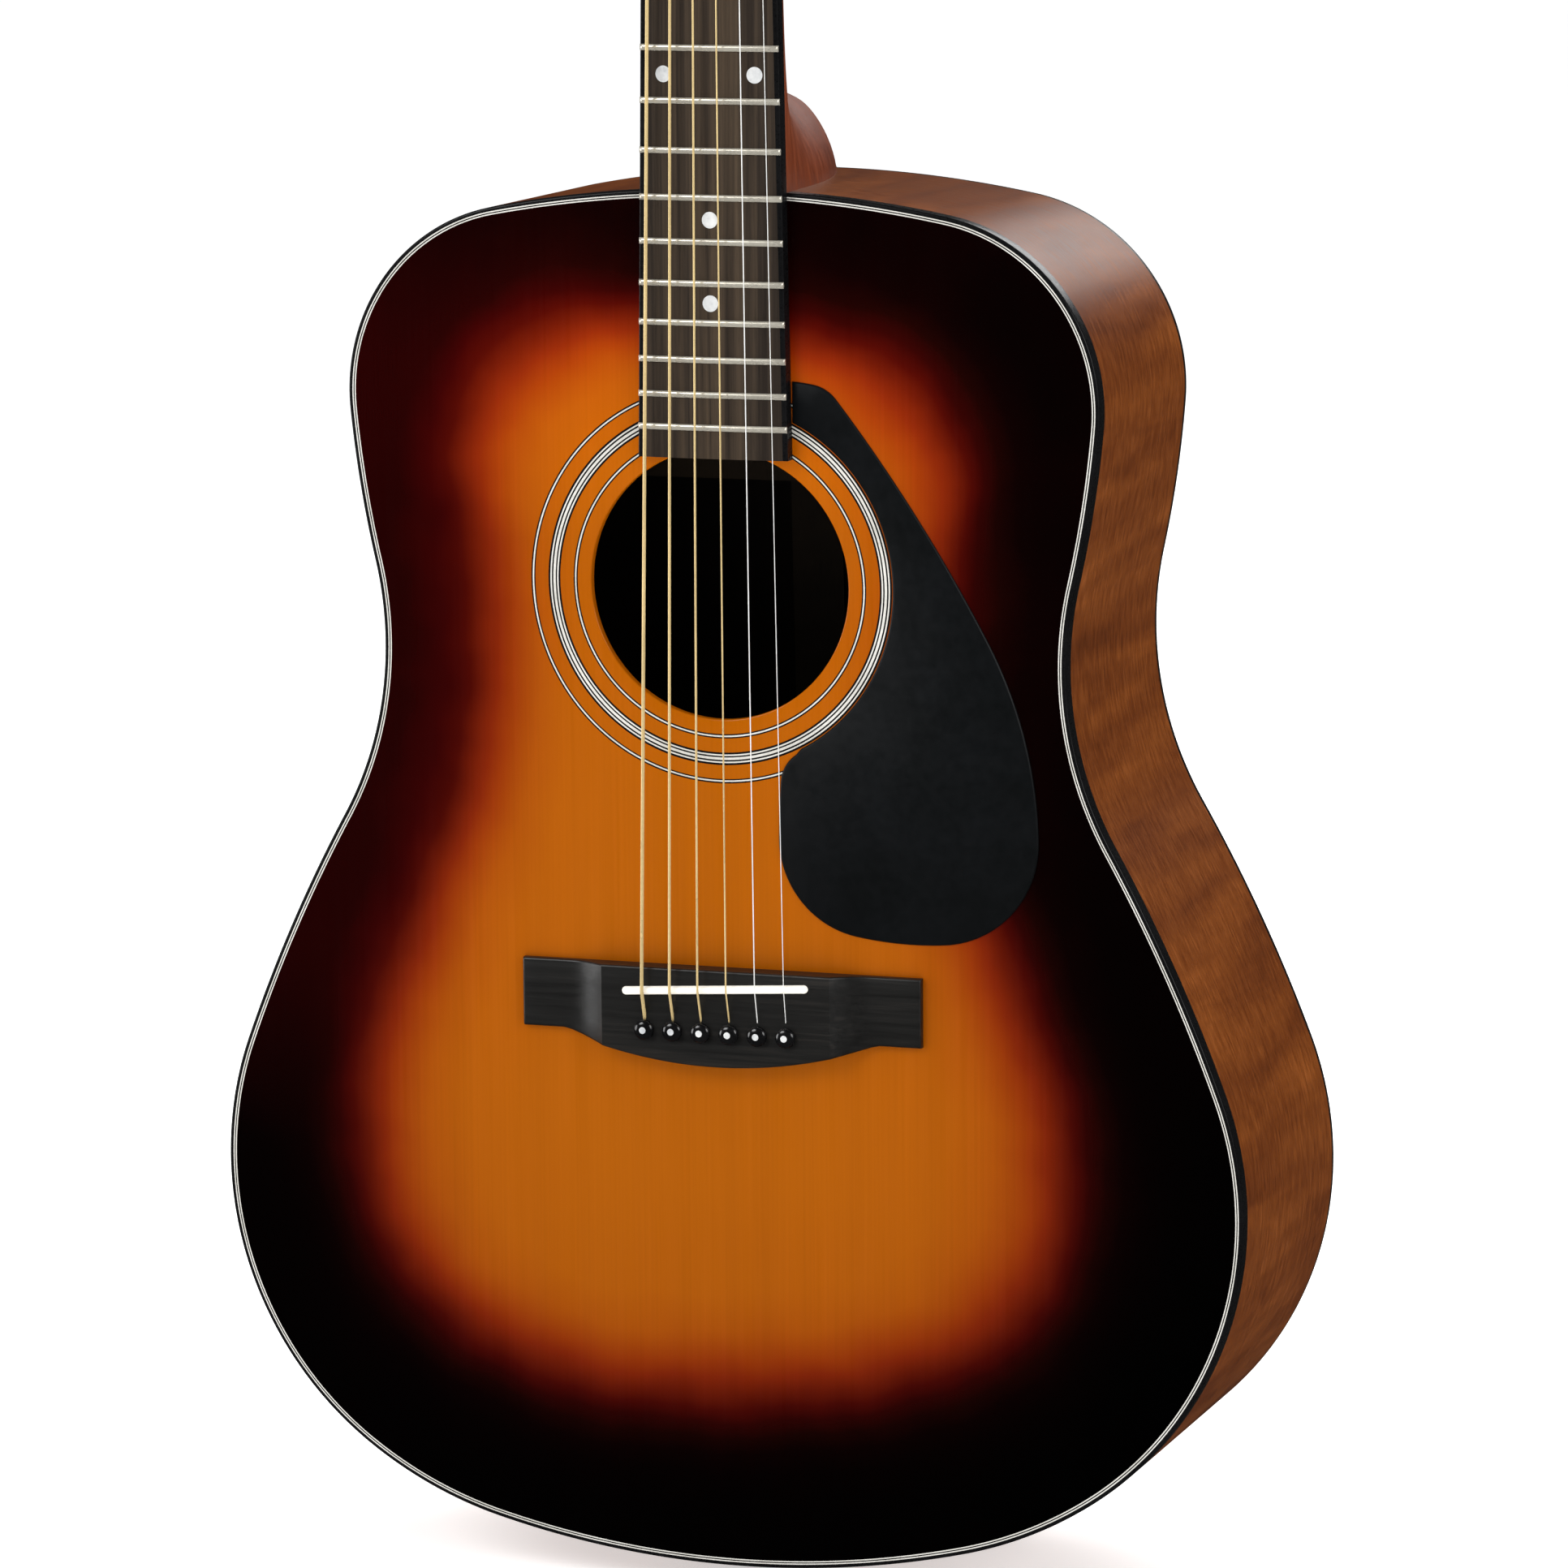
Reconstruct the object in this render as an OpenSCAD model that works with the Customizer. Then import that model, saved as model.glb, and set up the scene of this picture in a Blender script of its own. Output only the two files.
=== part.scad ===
// Steel-string acoustic guitar: dreadnought body, glued bridge with pins, bolted neck, sealed tuners.
// X runs from the bass side to the treble side, Y from the soundboard to the back, Z up the neck.
// The origin is on the strap button's axis, on the outside of the tail.

/* [Scale] */
// Length that sets the frets, from the nut to the saddle line
scale_length = 634; // [630:1:638]
// Height of the saddle line above the tail
saddle_line_z = 223.7; // [222:0.1:225]
// Number of frets
fret_count = 20; // [18:1:20]

/* [Body outline] */
// Radius of the tail's middle stretch
tail_r = 365; // [355:5:375]
// Radius between the tail and the lower bout
tail_corner_r = 155; // [153:1:157]
// Radius of the lower bout
lower_bout_r = 131; // [129:1:133]
// Radius of the flank above the lower bout
lower_flank_r = 600; // [590:10:610]
// Radius of the waist, which curves inwards
waist_r = 132; // [130:1:134]
// Radius of the flank above the waist
upper_flank_r = 420; // [410:10:430]
// Radius of the upper bout
upper_bout_r = 70; // [69:1:71]

/* [Body box] */
// Depth of the body at the tail
tail_depth = 134; // [130:1:136]
// Depth of the body at the neck
neck_end_depth = 108; // [106:1:110]
// Thickness of the soundboard
soundboard_t = 2.8; // [2.6:0.1:3]
// Thickness of the back plate
back_t = 3; // [2.8:0.1:3.2]
// Thickness of the sides
side_t = 2.2; // [2:0.1:2.4]
// Width of both bindings, seen from the front
binding_w = 1.5; // [1.3:0.1:1.7]
// Height of the top binding on the side
top_binding_h = 6.5; // [5:0.5:6.5]
// Width of the purfling inside the top binding
purfling_w = 1.3; // [1:0.1:1.5]
// Depth of the purfling and of the rosette
inlay_t = 1.5; // [1:0.1:1.8]
// Thickness of the linings, from the side inwards
lining_w = 6; // [5:0.5:7]
// Height of the linings
lining_h = 12; // [10:1:14]

/* [Sound hole] */
// Height of the sound hole's centre above the tail
hole_z = 365.7; // [364:0.1:367]
// Radius of the sound hole
hole_r = 49.3; // [48:0.1:50]
// Radius of the inner ring of the rosette
inner_ring_r = 55.4; // [55:0.1:56]
// Radius of the outer ring of the rosette
outer_ring_r = 71.9; // [71.5:0.1:73]
// Width of the two thin rings
thin_ring_w = 1.5; // [1:0.1:1.6]
// Inner radius of the thick ring
thick_ring_r = 61.3; // [61:0.1:61.6]
// Width of the thick ring
thick_ring_w = 4.6; // [4:0.1:4.8]

/* [Bracing] */
// Height where the two legs of the X cross
x_centre_z = 281; // [278:1:284]
// Angle of each leg from the centre line
x_leg_angle = 46; // [45:1:47]
// Width of the main braces
brace_w = 7.5; // [7:0.5:8]
// Height of the main braces
brace_h = 14; // [12:1:15]
// Thickness of the bridge plate
bridge_plate_t = 2.5; // [2:0.1:2.8]

/* [Bridge] */
// Length of the bridge
bridge_w = 154; // [150:1:156]
// Height of the bridge's upper edge above the tail
bridge_top_z = 225.2; // [225:0.1:226]
// Width of the wings, up the body
wing_l = 25.5; // [25:0.1:26]
// How far the belly reaches below the wings
belly_l = 10.5; // [10:0.1:11]
// Thickness of the bridge's middle block
bridge_t = 8.5; // [8:0.1:9]
// Thickness of the wings
wing_t = 3; // [2.5:0.1:3.5]
// Half of the middle block's length
bridge_block_x = 44; // [43:1:45]
// Length of the concave ramp between the block and each wing
bridge_ramp = 14; // [12:1:15]
// Height of the pin line above the tail
pin_z = 202; // [201:0.1:203]
// Distance between the outer strings at the saddle
saddle_spread = 54.6; // [54:0.1:55]
// Length of the saddle
saddle_w = 72; // [71:1:73]
// Thickness of the saddle
saddle_t = 3.2; // [3:0.1:3.4]
// Height of the saddle's middle above the tail
saddle_z = 218.2; // [218:0.1:219]
// Slant of the saddle
saddle_slant = 3.5; // [3:0.1:4]
// Height of the saddle's crest above the soundboard
saddle_crest = 11.5; // [11.5:0.1:12]

/* [Neck] */
// Width of the neck at the nut
nut_w = 43; // [42.5:0.1:43.5]
// Width of the fingerboard where it crosses the body's edge
joint_w = 54; // [53.5:0.1:54.5]
// Thickness of the fingerboard at its middle
board_t = 6.5; // [6.3:0.1:6.7]
// Radius of the fingerboard's crown
board_r = 400; // [390:10:410]
// Depth of the neck's wood at the nut
neck_d_nut = 14.5; // [14.5:0.1:15]
// Depth of the neck's wood at the body
neck_d_body = 17.5; // [17:0.1:18]
// Height of the nut's crest above the neck's top plane
nut_crest = 8.3; // [8.2:0.1:8.5]
// Thickness of the nut
nut_t = 5; // [4.5:0.1:5.5]
// Distance between the outer strings at the nut
nut_spread = 35; // [34.5:0.1:35.5]
// Half width of the heel at its cap
heel_cap_x = 9.5; // [9:0.1:10.5]
// Reach of the heel at its cap
heel_cap_reach = 18.5; // [18:0.5:20]
// Width of the binding along each edge of the fingerboard
board_edge_w = 1.8; // [1.5:0.1:2]

/* [Headstock] */
// Angle between the headstock and the neck
head_angle = 14; // [13:1:15]
// Thickness of the headstock with its veneer
head_t = 15; // [14.8:0.1:15.2]
// Thickness of the veneer
veneer_t = 1.2; // [1:0.1:1.4]

/* [Tuners] */
// Height of the first pair of posts above the nut
first_post_z = 45; // [44:1:46]
// Distance from one pair of posts to the next
post_pitch = 40; // [39:1:41]
// Distance of the first pair of posts from the centre line
first_post_x = 20.5; // [20:0.1:21]
// How much further out each next pair stands
post_spread = 1.5; // [1.4:0.1:1.6]
// Radius of a post
post_r = 3; // [2.9:0.1:3]
// Teeth on the gear wheel
gear_teeth = 14; // [14:2:16]

/* [Hidden] */
$fn = 64;
// Facets for the crowned surfaces, whose radius is large
crown_fn = 720;

// Sweeps that belong to the outline's radii
outline_arcs = [[tail_r, 14.4], [tail_corner_r, 20.5], [lower_bout_r, 75.5], [lower_flank_r, 9.2],
    [-waist_r, 42.6], [upper_flank_r, 7.7], [upper_bout_r, 84.5]];
// Longest stretch of outline that one straight edge may stand for
outline_step = 3.5;

top_y = -tail_depth / 2;
inner_top_y = top_y + soundboard_t;
back_y = tail_depth / 2;
strings = [for (i = [0 : 5]) (i - 2.5) / 5];
string_radii = [0.15, 0.21, 0.31, 0.41, 0.54, 0.68];

// Outline mathematics: a chain of arcs, each tangent to the one before it.
// A positive radius turns left, and h is the heading in degrees.
function arc_centre(p, h, r) = p + r * [-sin(h), cos(h)];
function arc_point(p, h, r, a) = arc_centre(p, h, r)
    + r * [sin(h + sign(r) * a), -cos(h + sign(r) * a)];
function arc_steps(r, a) = max(2, ceil(abs(r) * a * PI / 180 / outline_step));
function chain(arcs, p, h, i = 0) = i == len(arcs) ? [p] :
    let (r = arcs[i][0], a = arcs[i][1], n = arc_steps(r, a))
    concat([for (k = [0 : n - 1]) arc_point(p, h, r, a * k / n)],
        chain(arcs, arc_point(p, h, r, a), h + sign(r) * a, i + 1));
function chain_heading(arcs, h, i = 0) = i == len(arcs) ? h :
    chain_heading(arcs, h + sign(arcs[i][0]) * arcs[i][1], i + 1);
function last(list) = list[len(list) - 1];
// Adds the arc that brings a chain to the centre line at a right angle
function closed_on_centre(arcs, p, h) = let (pts = chain(arcs, p, h),
    heading = chain_heading(arcs, h), r = last(pts)[0] / sin(heading))
    chain(concat(arcs, [[r, 180 - heading]]), p, h);
function inset_arcs(inset) = [for (a = outline_arcs) [a[0] - inset, a[1]]];
function half_outline(inset) = closed_on_centre(inset_arcs(inset), [0, inset], 0);
function mirrored(half, first = 1) = concat(half,
    [for (i = [len(half) - 2 : -1 : first]) [-half[i][0], half[i][1]]]);
function body_outline(inset) = mirrored(half_outline(inset));

body_l = last(half_outline(0))[1];
back_tilt = atan((tail_depth - neck_end_depth) / body_l);
nut_z = saddle_line_z + scale_length;
head_z = nut_z + nut_t;
end_fret_gap = 11.2;
board_end_z = fret_z(fret_count) - end_fret_gap;
block_x = 40;
neck_block_z = 455.6;
tail_block_l = 18;
rod_y = top_y + 9.5;
rod_r = 2.2;
rod_end_z = nut_z - 18;
bolt_r = 3;
bolt_ys = [-20, 14];
heel_cap_t = 2;
fit_gap = 0.05;

function fret_z(n) = saddle_line_z + scale_length * pow(2, -n / 12);
function board_half(z) = nut_w / 2 + (joint_w - nut_w) / 2 * (nut_z - z) / (nut_z - body_l);
function crown_drop(x, r) = r - sqrt(r * r - x * x);
function saddle_z_at(x) = saddle_z + x * tan(saddle_slant);
// String 1 is the thin treble string, string 6 the thick bass string
function string_side(k) = strings[6 - k];
function head_point(p) = [p[0], top_y + p[1] * cos(head_angle) + p[2] * sin(head_angle),
    head_z - p[1] * sin(head_angle) + p[2] * cos(head_angle)];
function post_row(k) = k <= 3 ? k - 1 : 6 - k;
function post_side(k) = k <= 3 ? 1 : -1;
function post_x(k) = post_side(k) * (first_post_x + post_spread * post_row(k));
function post_z(k) = first_post_z + post_pitch * post_row(k);

// Extrudes a plan, drawn in X and Z, from one depth to another
module plan(y0, y1) {
    translate([0, y1, 0]) rotate([90, 0, 0]) linear_extrude(y1 - y0) children();
}
module body_prism(inset, y0, y1) { plan(y0, y1) polygon(body_outline(inset)); }
module body_ring(outer, inner, y0, y1) {
    plan(y0, y1) difference() {
        polygon(body_outline(outer));
        polygon(body_outline(inner));
    }
}
// The layer between two distances inside the tilted back surface
module back_layer(t0, t1) {
    translate([-300, back_y, 0]) rotate([back_tilt, 0, 0]) translate([0, -t1, -100])
        cube([600, t1 - t0, 800]);
}
module below_back(t) { back_layer(-80, t); }
module neck_frame() { translate([0, top_y, head_z]) rotate([-head_angle, 0, 0]) children(); }
// A skin through rings of points, with flat ends
module loft(rings) {
    n = len(rings[0]);
    m = len(rings);
    polyhedron(points = [for (ring = rings) for (p = ring) p],
        faces = concat([[for (j = [0 : n - 1]) j]],
            [for (i = [0 : m - 2]) for (j = [0 : n - 1])
                [i * n + (j + 1) % n, i * n + j, (i + 1) * n + j, (i + 1) * n + (j + 1) % n]],
            [[for (j = [n - 1 : -1 : 0]) (m - 1) * n + j]]), convexity = 6);
}
module bar(p0, p1, w) {
    d = p1 - p0;
    translate(p0) rotate(atan2(d[1], d[0])) translate([0, -w / 2]) square([norm(d), w]);
}
module bore(y0, y1, x, z, r) {
    translate([x, y0, z]) rotate([-90, 0, 0]) cylinder(r = r, h = y1 - y0);
}
module pin_bores() {
    for (s = strings) bore(top_y - 12, -50, s * saddle_spread, pin_z, 2.6 + fit_gap);
}
module rod_bore() { translate([0, rod_y, 440]) cylinder(r = rod_r + 0.4, h = 75, $fn = 32); }
module bolt_bores(r) {
    for (y = bolt_ys) translate([0, y, 440]) cylinder(r = r, h = 90, $fn = 32);
}
module tail_bore() { translate([0, 0, -10]) cylinder(r = 3.3, h = 40, $fn = 32); }

// Plates, sides and their edges
module rosette_rings(y1) {
    for (ring = [[inner_ring_r - thin_ring_w / 2, thin_ring_w], [thick_ring_r, thick_ring_w],
            [outer_ring_r - thin_ring_w / 2, thin_ring_w]])
        plan(top_y, y1) translate([0, hole_z]) difference() {
            circle(r = ring[0] + ring[1], $fn = 128);
            circle(r = ring[0], $fn = 128);
        }
}
module soundboard() {
    color("darkorange") difference() {
        union() {
            body_prism(binding_w + purfling_w, top_y, top_y + inlay_t);
            body_prism(binding_w, top_y + inlay_t, inner_top_y);
        }
        bore(top_y - 1, inner_top_y + 1, 0, hole_z, hole_r, $fn = 128);
        rosette_rings(top_y + inlay_t);
        pin_bores();
    }
}
module rosette() { color("ivory") rosette_rings(top_y + inlay_t); }
module top_purfling() {
    color("white") body_ring(binding_w, binding_w + purfling_w, top_y, top_y + inlay_t);
}
module top_binding() { color("black") body_ring(0, binding_w, top_y, top_y + top_binding_h); }
module back_binding() {
    color("black") intersection() {
        body_ring(0, binding_w, 0, back_y + 5);
        back_layer(0, back_t);
    }
}
module back_plate() {
    color("sienna") intersection() {
        body_prism(binding_w, 0, back_y + 5);
        back_layer(0, back_t);
    }
}
module side_ring() {
    difference() {
        body_ring(0, side_t, inner_top_y, back_y + 5);
        body_ring(-1, binding_w, top_y, top_y + top_binding_h);
        below_back(back_t);
        rod_bore();
        bolt_bores(bolt_r + 0.1);
        tail_bore();
    }
}
module tail_strip_zone(gap) {
    translate([-9 - gap, -90, -5]) cube([18 + 2 * gap, 180, 20]);
}
module side_half(direction) {
    color("saddlebrown") difference() {
        intersection() {
            side_ring();
            translate([direction > 0 ? 0 : -300, -100, -10]) cube([300, 200, 600]);
        }
        tail_strip_zone(0);
    }
}
module side_bass() { side_half(-1); }
module side_treble() { side_half(1); }
module tail_strip() {
    color("black") intersection() {
        side_ring();
        tail_strip_zone(0);
    }
}

// Inside the body
module block_zones(gap) {
    translate([-block_x - gap, -90, neck_block_z - gap]) cube([2 * (block_x + gap), 180, 80]);
    translate([-block_x - gap, -90, -5])
        cube([2 * (block_x + gap), 180, 5 + side_t + tail_block_l + gap]);
}
module lining_ring(y0, y1) { body_ring(side_t, side_t + lining_w, y0, y1); }
module top_linings() {
    color("tan") difference() {
        lining_ring(inner_top_y, inner_top_y + lining_h);
        block_zones(0);
    }
}
module back_linings() {
    color("tan") difference() {
        intersection() {
            lining_ring(0, back_y + 5);
            back_layer(back_t, back_t + lining_h);
        }
        block_zones(0);
    }
}
module block_body(z0, z1) {
    difference() {
        plan(inner_top_y, back_y + 5) intersection() {
            polygon(body_outline(side_t));
            translate([-block_x, z0]) square([2 * block_x, z1 - z0]);
        }
        below_back(back_t);
    }
}
module neck_block() {
    color("peru") difference() {
        block_body(neck_block_z, body_l + 1);
        rod_bore();
        bolt_bores(bolt_r + 0.1);
    }
}
module tail_block() {
    color("peru") difference() {
        block_body(0, side_t + tail_block_l);
        tail_bore();
    }
}
// A brace under the soundboard, cut back to the linings
module top_brace(h) {
    plan(inner_top_y, inner_top_y + h) intersection() {
        polygon(body_outline(side_t + lining_w + 0.2));
        children();
    }
}
module x_legs(w) {
    for (side = [-1, 1]) {
        reach = 260 * [side * sin(x_leg_angle), cos(x_leg_angle)];
        bar([0, x_centre_z] - reach, [0, x_centre_z] + reach * 0.72, w);
    }
}
module x_braces() { color("wheat") top_brace(brace_h) x_legs(brace_w); }
module upper_face_brace() {
    color("wheat") difference() {
        top_brace(brace_h) translate([-200, 424]) square([400, 10]);
        rod_access();
    }
}
module rod_access() { translate([0, rod_y, 415]) cylinder(r = 5.5, h = 30, $fn = 32); }
module tone_bars() {
    color("wheat") top_brace(10) difference() {
        for (bottom = [112, 66]) bar([150, bottom + 82], [-120, bottom - 14], 6);
        x_legs(brace_w + 0.4);
        translate([0, 160]) square([240, 100]);
    }
}
module finger_braces() {
    color("wheat") top_brace(8) difference() {
        for (side = [-1, 1]) for (z = [196, 236]) bar([side * 40, z - 20], [side * 200, z + 16], 5);
        x_legs(brace_w + 0.4);
        polygon([[0, x_centre_z], [-170, 110], [170, 110]]);
    }
}
module soundhole_braces() {
    color("wheat") top_brace(6) difference() {
        for (side = [-1, 1]) bar([side * 57.5, 300], [side * 57.5, 423], 10);
        x_legs(brace_w + 0.4);
        for (side = [-1, 1]) translate([side * 100, x_centre_z]) square([90, 90], center = true);
    }
}
module bridge_plate() {
    top_half = (x_centre_z - 226) * tan(x_leg_angle) - brace_w;
    low_half = (x_centre_z - 190) * tan(x_leg_angle) - brace_w;
    color("burlywood") difference() {
        plan(inner_top_y, inner_top_y + bridge_plate_t)
            polygon([[-top_half, 226], [top_half, 226], [low_half, 190], [-low_half, 190]]);
        pin_bores();
    }
}
back_brace_zs = [62, 158, 292, 396];
module back_brace_zones(gap) {
    for (z = back_brace_zs) translate([-200, -10, z - 4 - gap]) cube([400, 90, 8 + 2 * gap]);
}
module back_braces() {
    color("wheat") intersection() {
        body_prism(side_t + lining_w + 0.2, -10, back_y + 5);
        back_layer(back_t, back_t + brace_h);
        back_brace_zones(0);
    }
}
module back_seam_strip() {
    color("wheat") difference() {
        intersection() {
            plan(0, back_y + 5) translate([-10, side_t + tail_block_l + 0.2])
                square([20, neck_block_z - side_t - tail_block_l - 0.4]);
            back_layer(back_t, back_t + 2);
        }
        back_brace_zones(0.1);
    }
}

// Pickguard: an arc chain round the treble side, closed by the thick ring's edge
guard_t = 0.9;
guard_ring_r = thick_ring_r + thick_ring_w + 0.4;
guard_arcs = [[-68, 7], [-13.8, 40.8], [-593, 9.9], [-155, 27.8], [-39, 86.4], [-136, 14.1],
    [-35, 81.3], [-446, 2.6], [-13.5, 53.4]];
module pickguard() {
    start_x = board_half(board_end_z) + 0.1;
    color("black") plan(top_y - guard_t, top_y)
        polygon(concat(chain(guard_arcs, [start_x, 440.4], -3.6),
            [for (a = [-62 : 3 : 64]) [0, hole_z] + guard_ring_r * [cos(a), sin(a)]],
            [[start_x, hole_z + sqrt(pow(guard_ring_r, 2) - pow(start_x, 2))]]));
}

// Bridge, saddle and pins, with a slot for each string from its pin towards the saddle
string_slot_l = 10;
module bridge_plan() {
    wing_z = bridge_top_z - wing_l;
    half = bridge_w / 2;
    belly_half = bridge_block_x + 16;
    polygon(concat([[half, wing_z], [half, bridge_top_z], [-half, bridge_top_z], [-half, wing_z]],
        [for (a = [180 : -6 : 0]) [belly_half * cos(a), wing_z - belly_l * pow(sin(a), 2)]]));
}
module bridge_profile() {
    rise = bridge_t - wing_t;
    right = concat([[bridge_w / 2, 0], [bridge_w / 2, -wing_t]],
        [for (t = [0 : 0.1 : 1])
            [bridge_block_x + bridge_ramp * (1 - t), -wing_t - rise * pow(t, 1.8)]]);
    polygon(concat(right, [for (i = [len(right) - 1 : -1 : 0]) [-right[i][0], right[i][1]]]));
}
module saddle_slot(w, t) {
    translate([0, top_y - bridge_t + 5.5 - 20, saddle_z]) rotate([0, -saddle_slant, 0])
        translate([-w / 2, 0, -t / 2]) cube([w, 20, t]);
}
module bridge() {
    color("#1c1a19") difference() {
        intersection() {
            plan(top_y - 20, top_y) bridge_plan();
            translate([0, top_y, 150]) linear_extrude(120) bridge_profile();
        }
        saddle_slot(saddle_w, saddle_t);
        pin_bores();
        for (s = strings) translate([s * saddle_spread - 0.9, top_y - bridge_t - 1, pin_z])
            cube([1.8, 4.2, string_slot_l]);
    }
}
module saddle() {
    crown_y = top_y - saddle_crest + board_r;
    color("ivory") intersection() {
        saddle_slot(saddle_w - 0.1, saddle_t - 0.1);
        translate([0, crown_y, saddle_z - 20]) cylinder(r = board_r, h = 40, $fn = crown_fn);
    }
}
module pin_axis(side) {
    translate([side * saddle_spread, top_y - bridge_t, pin_z]) rotate([-90, 0, 0]) children();
}
module bridge_pins() {
    color("black") for (s = strings) pin_axis(s) difference() {
        union() {
            translate([0, 0, -2.6]) cylinder(r = 3.75, h = 2.6, $fn = 32);
            cylinder(r = 2.6, h = 20, $fn = 32);
        }
        translate([0, 0, -3]) cylinder(r = 1.25, h = 1.2, $fn = 32);
        translate([-0.9, -3, 0]) cube([1.8, 2.1, 25]);
    }
}
module bridge_pin_dots() {
    color("white") for (s = strings) pin_axis(s) translate([0, 0, -2.7])
        cylinder(r = 1.25, h = 0.9, $fn = 32);
}
module strap_button() {
    color("black") {
        translate([0, 0, -9]) cylinder(r = 7, h = 3);
        translate([0, 0, -6]) cylinder(r = 4, h = 6);
        translate([0, 0, -1.2]) cylinder(r = 6, h = 1.2);
        cylinder(r = 3.2, h = 17);
    }
}

// Neck
function neck_depth(z) = neck_d_nut + (neck_d_body - neck_d_nut) * (nut_z - z) / (nut_z - body_l);
// Roundness of the neck's section: squarer where it meets the headstock
function neck_power(z) = 1.3 - 0.9 * pow(max(0, 1 - (head_z - z) / 26), 1.5);
function neck_ring(z, lean) = [for (t = [0 : 10 : 180])
    let (y = neck_depth(z) * pow(sin(t), neck_power(z)))
    [board_half(min(z, nut_z)) * cos(t), top_y + y, z - lean * y * tan(head_angle)]];
shaft_zs = concat([body_l - 4], [for (k = [1 : 7]) body_l + (head_z - 26 - body_l) * k / 7],
    [head_z - 20, head_z - 14, head_z - 9]);
heel_top_y = top_y + neck_d_body - 4;
heel_end_y = back_y - (tail_depth - neck_end_depth) - heel_cap_t;
// The heel's width and reach, from 0 just inside the neck's wood to 1 at the cap
function heel_half(u) = heel_cap_x + (joint_w / 2 - 1 - heel_cap_x) * (1 - pow(max(u, 0), 2.4));
function heel_reach(u) = heel_cap_reach + 19.6 * sqrt(1 - u) + 50 * exp(-9 * u);
function heel_ring(u, y) = [for (t = [0 : 10 : 180])
    [heel_half(u) * sign(cos(t)) * pow(abs(cos(t)), 1.8), y,
        body_l - 4 + (heel_reach(u) + 4) * sin(t)]];
heel_us = [-0.12, -0.06, 0, 0.03, 0.07, 0.12, 0.18, 0.26, 0.36, 0.48, 0.6, 0.72, 0.84, 0.93, 0.97,
    0.99, 1];
module body_end_cutter() {
    plan(top_y - 20, back_y + 20) intersection() {
        polygon(body_outline(0));
        translate([-60, body_l - 20]) square([120, 40]);
    }
}
module neck() {
    color("brown") difference() {
        union() {
            loft(concat([for (z = shaft_zs) neck_ring(z, 0)], [neck_ring(head_z, 1)]));
            loft([for (i = [len(heel_us) - 1 : -1 : 0])
                heel_ring(heel_us[i], heel_top_y + (heel_end_y - heel_top_y) * heel_us[i])]);
        }
        body_end_cutter();
        translate([-rod_r - 0.2, top_y - 1, body_l - 10])
            cube([2 * rod_r + 0.4, rod_y + rod_r + 0.2 - top_y + 1, rod_end_z - body_l + 10.2]);
        bolt_bores(bolt_r + fit_gap);
    }
}
module heel_cap() {
    ring = heel_ring(1, 0);
    color("black") difference() {
        plan(heel_end_y, heel_end_y + heel_cap_t) polygon([for (p = ring) [p[0], p[2]]]);
        body_end_cutter();
    }
}
module truss_rod() {
    color("silver") translate([0, rod_y, 446]) cylinder(r = rod_r, h = rod_end_z - 446, $fn = 32);
}
module truss_rod_nut() {
    color("goldenrod") translate([0, rod_y, 441]) difference() {
        cylinder(r = 4, h = neck_block_z - 441 - 0.3, $fn = 32);
        translate([0, 0, 4.5]) cylinder(r = rod_r + fit_gap, h = 20, $fn = 32);
        translate([0, 0, -1]) cylinder(r = 2.3, h = 5, $fn = 6);
    }
}
module neck_bolts() {
    color("silver") for (y = bolt_ys) translate([0, y, neck_block_z]) {
        translate([0, 0, -4]) difference() {
            cylinder(r = 5.5, h = 4, $fn = 32);
            translate([0, 0, -1]) cylinder(r = 2.6, h = 3.5, $fn = 6);
        }
        cylinder(r = bolt_r, h = 64, $fn = 32);
    }
}

// Fingerboard, frets and nut
module board_plan(z0, z1, grow = 0) {
    polygon([[-board_half(z0) - grow, z0], [board_half(z0) + grow, z0],
        [board_half(z1) + grow, z1], [-board_half(z1) - grow, z1]]);
}
module crown_bar(height, z0, z1) {
    translate([0, top_y - height + board_r, z0]) cylinder(r = board_r, h = z1 - z0, $fn = crown_fn);
}
module board_blank(height, z0, z1) {
    intersection() {
        plan(top_y - height - 1, top_y) board_plan(z0, z1);
        crown_bar(height, z0, z1);
    }
}
module fret_slots(depth) {
    for (n = [1 : fret_count]) translate([-40, top_y - board_t - 1, fret_z(n) - 0.3])
        cube([80, 1 + depth, 0.6]);
}
single_dots = [3, 5, 7, 9, 15, 17];
function dot_z(n) = (fret_z(n) + fret_z(n - 1)) / 2;
module dot_bores() {
    for (n = single_dots) bore(top_y - 10, top_y - board_t + 1.5, 0, dot_z(n), 3);
    for (x = [-17.3, 17.3]) bore(top_y - 10, top_y - board_t + 2, x, dot_z(12), 3);
}
module side_dots() {
    for (n = concat(single_dots, [12])) translate([-board_half(dot_z(n)) - 0.4, top_y - 3.5, dot_z(n)])
        rotate([0, 90, 0]) cylinder(r = 1, h = board_edge_w);
}
module board_edge_zones() {
    z0 = board_end_z - 1;
    z1 = nut_z + 1;
    for (side = [-1, 1]) plan(top_y - 10, top_y + 1)
        polygon([for (q = [[z0, board_edge_w], [z0, -1], [z1, -1], [z1, board_edge_w]])
            [side * (board_half(q[0]) - q[1]), q[0]]]);
}
module fingerboard() {
    color("#4a3b33") difference() {
        board_blank(board_t, board_end_z, nut_z);
        board_edge_zones();
        fret_slots(2);
        dot_bores();
    }
}
module fingerboard_binding() {
    color("black") difference() {
        intersection() {
            board_blank(board_t, board_end_z, nut_z);
            board_edge_zones();
        }
        fret_slots(2);
        side_dots();
    }
}
module fingerboard_dots() {
    color("white") intersection() {
        board_blank(board_t, board_end_z, nut_z);
        union() {
            dot_bores();
            side_dots();
        }
    }
}
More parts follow.
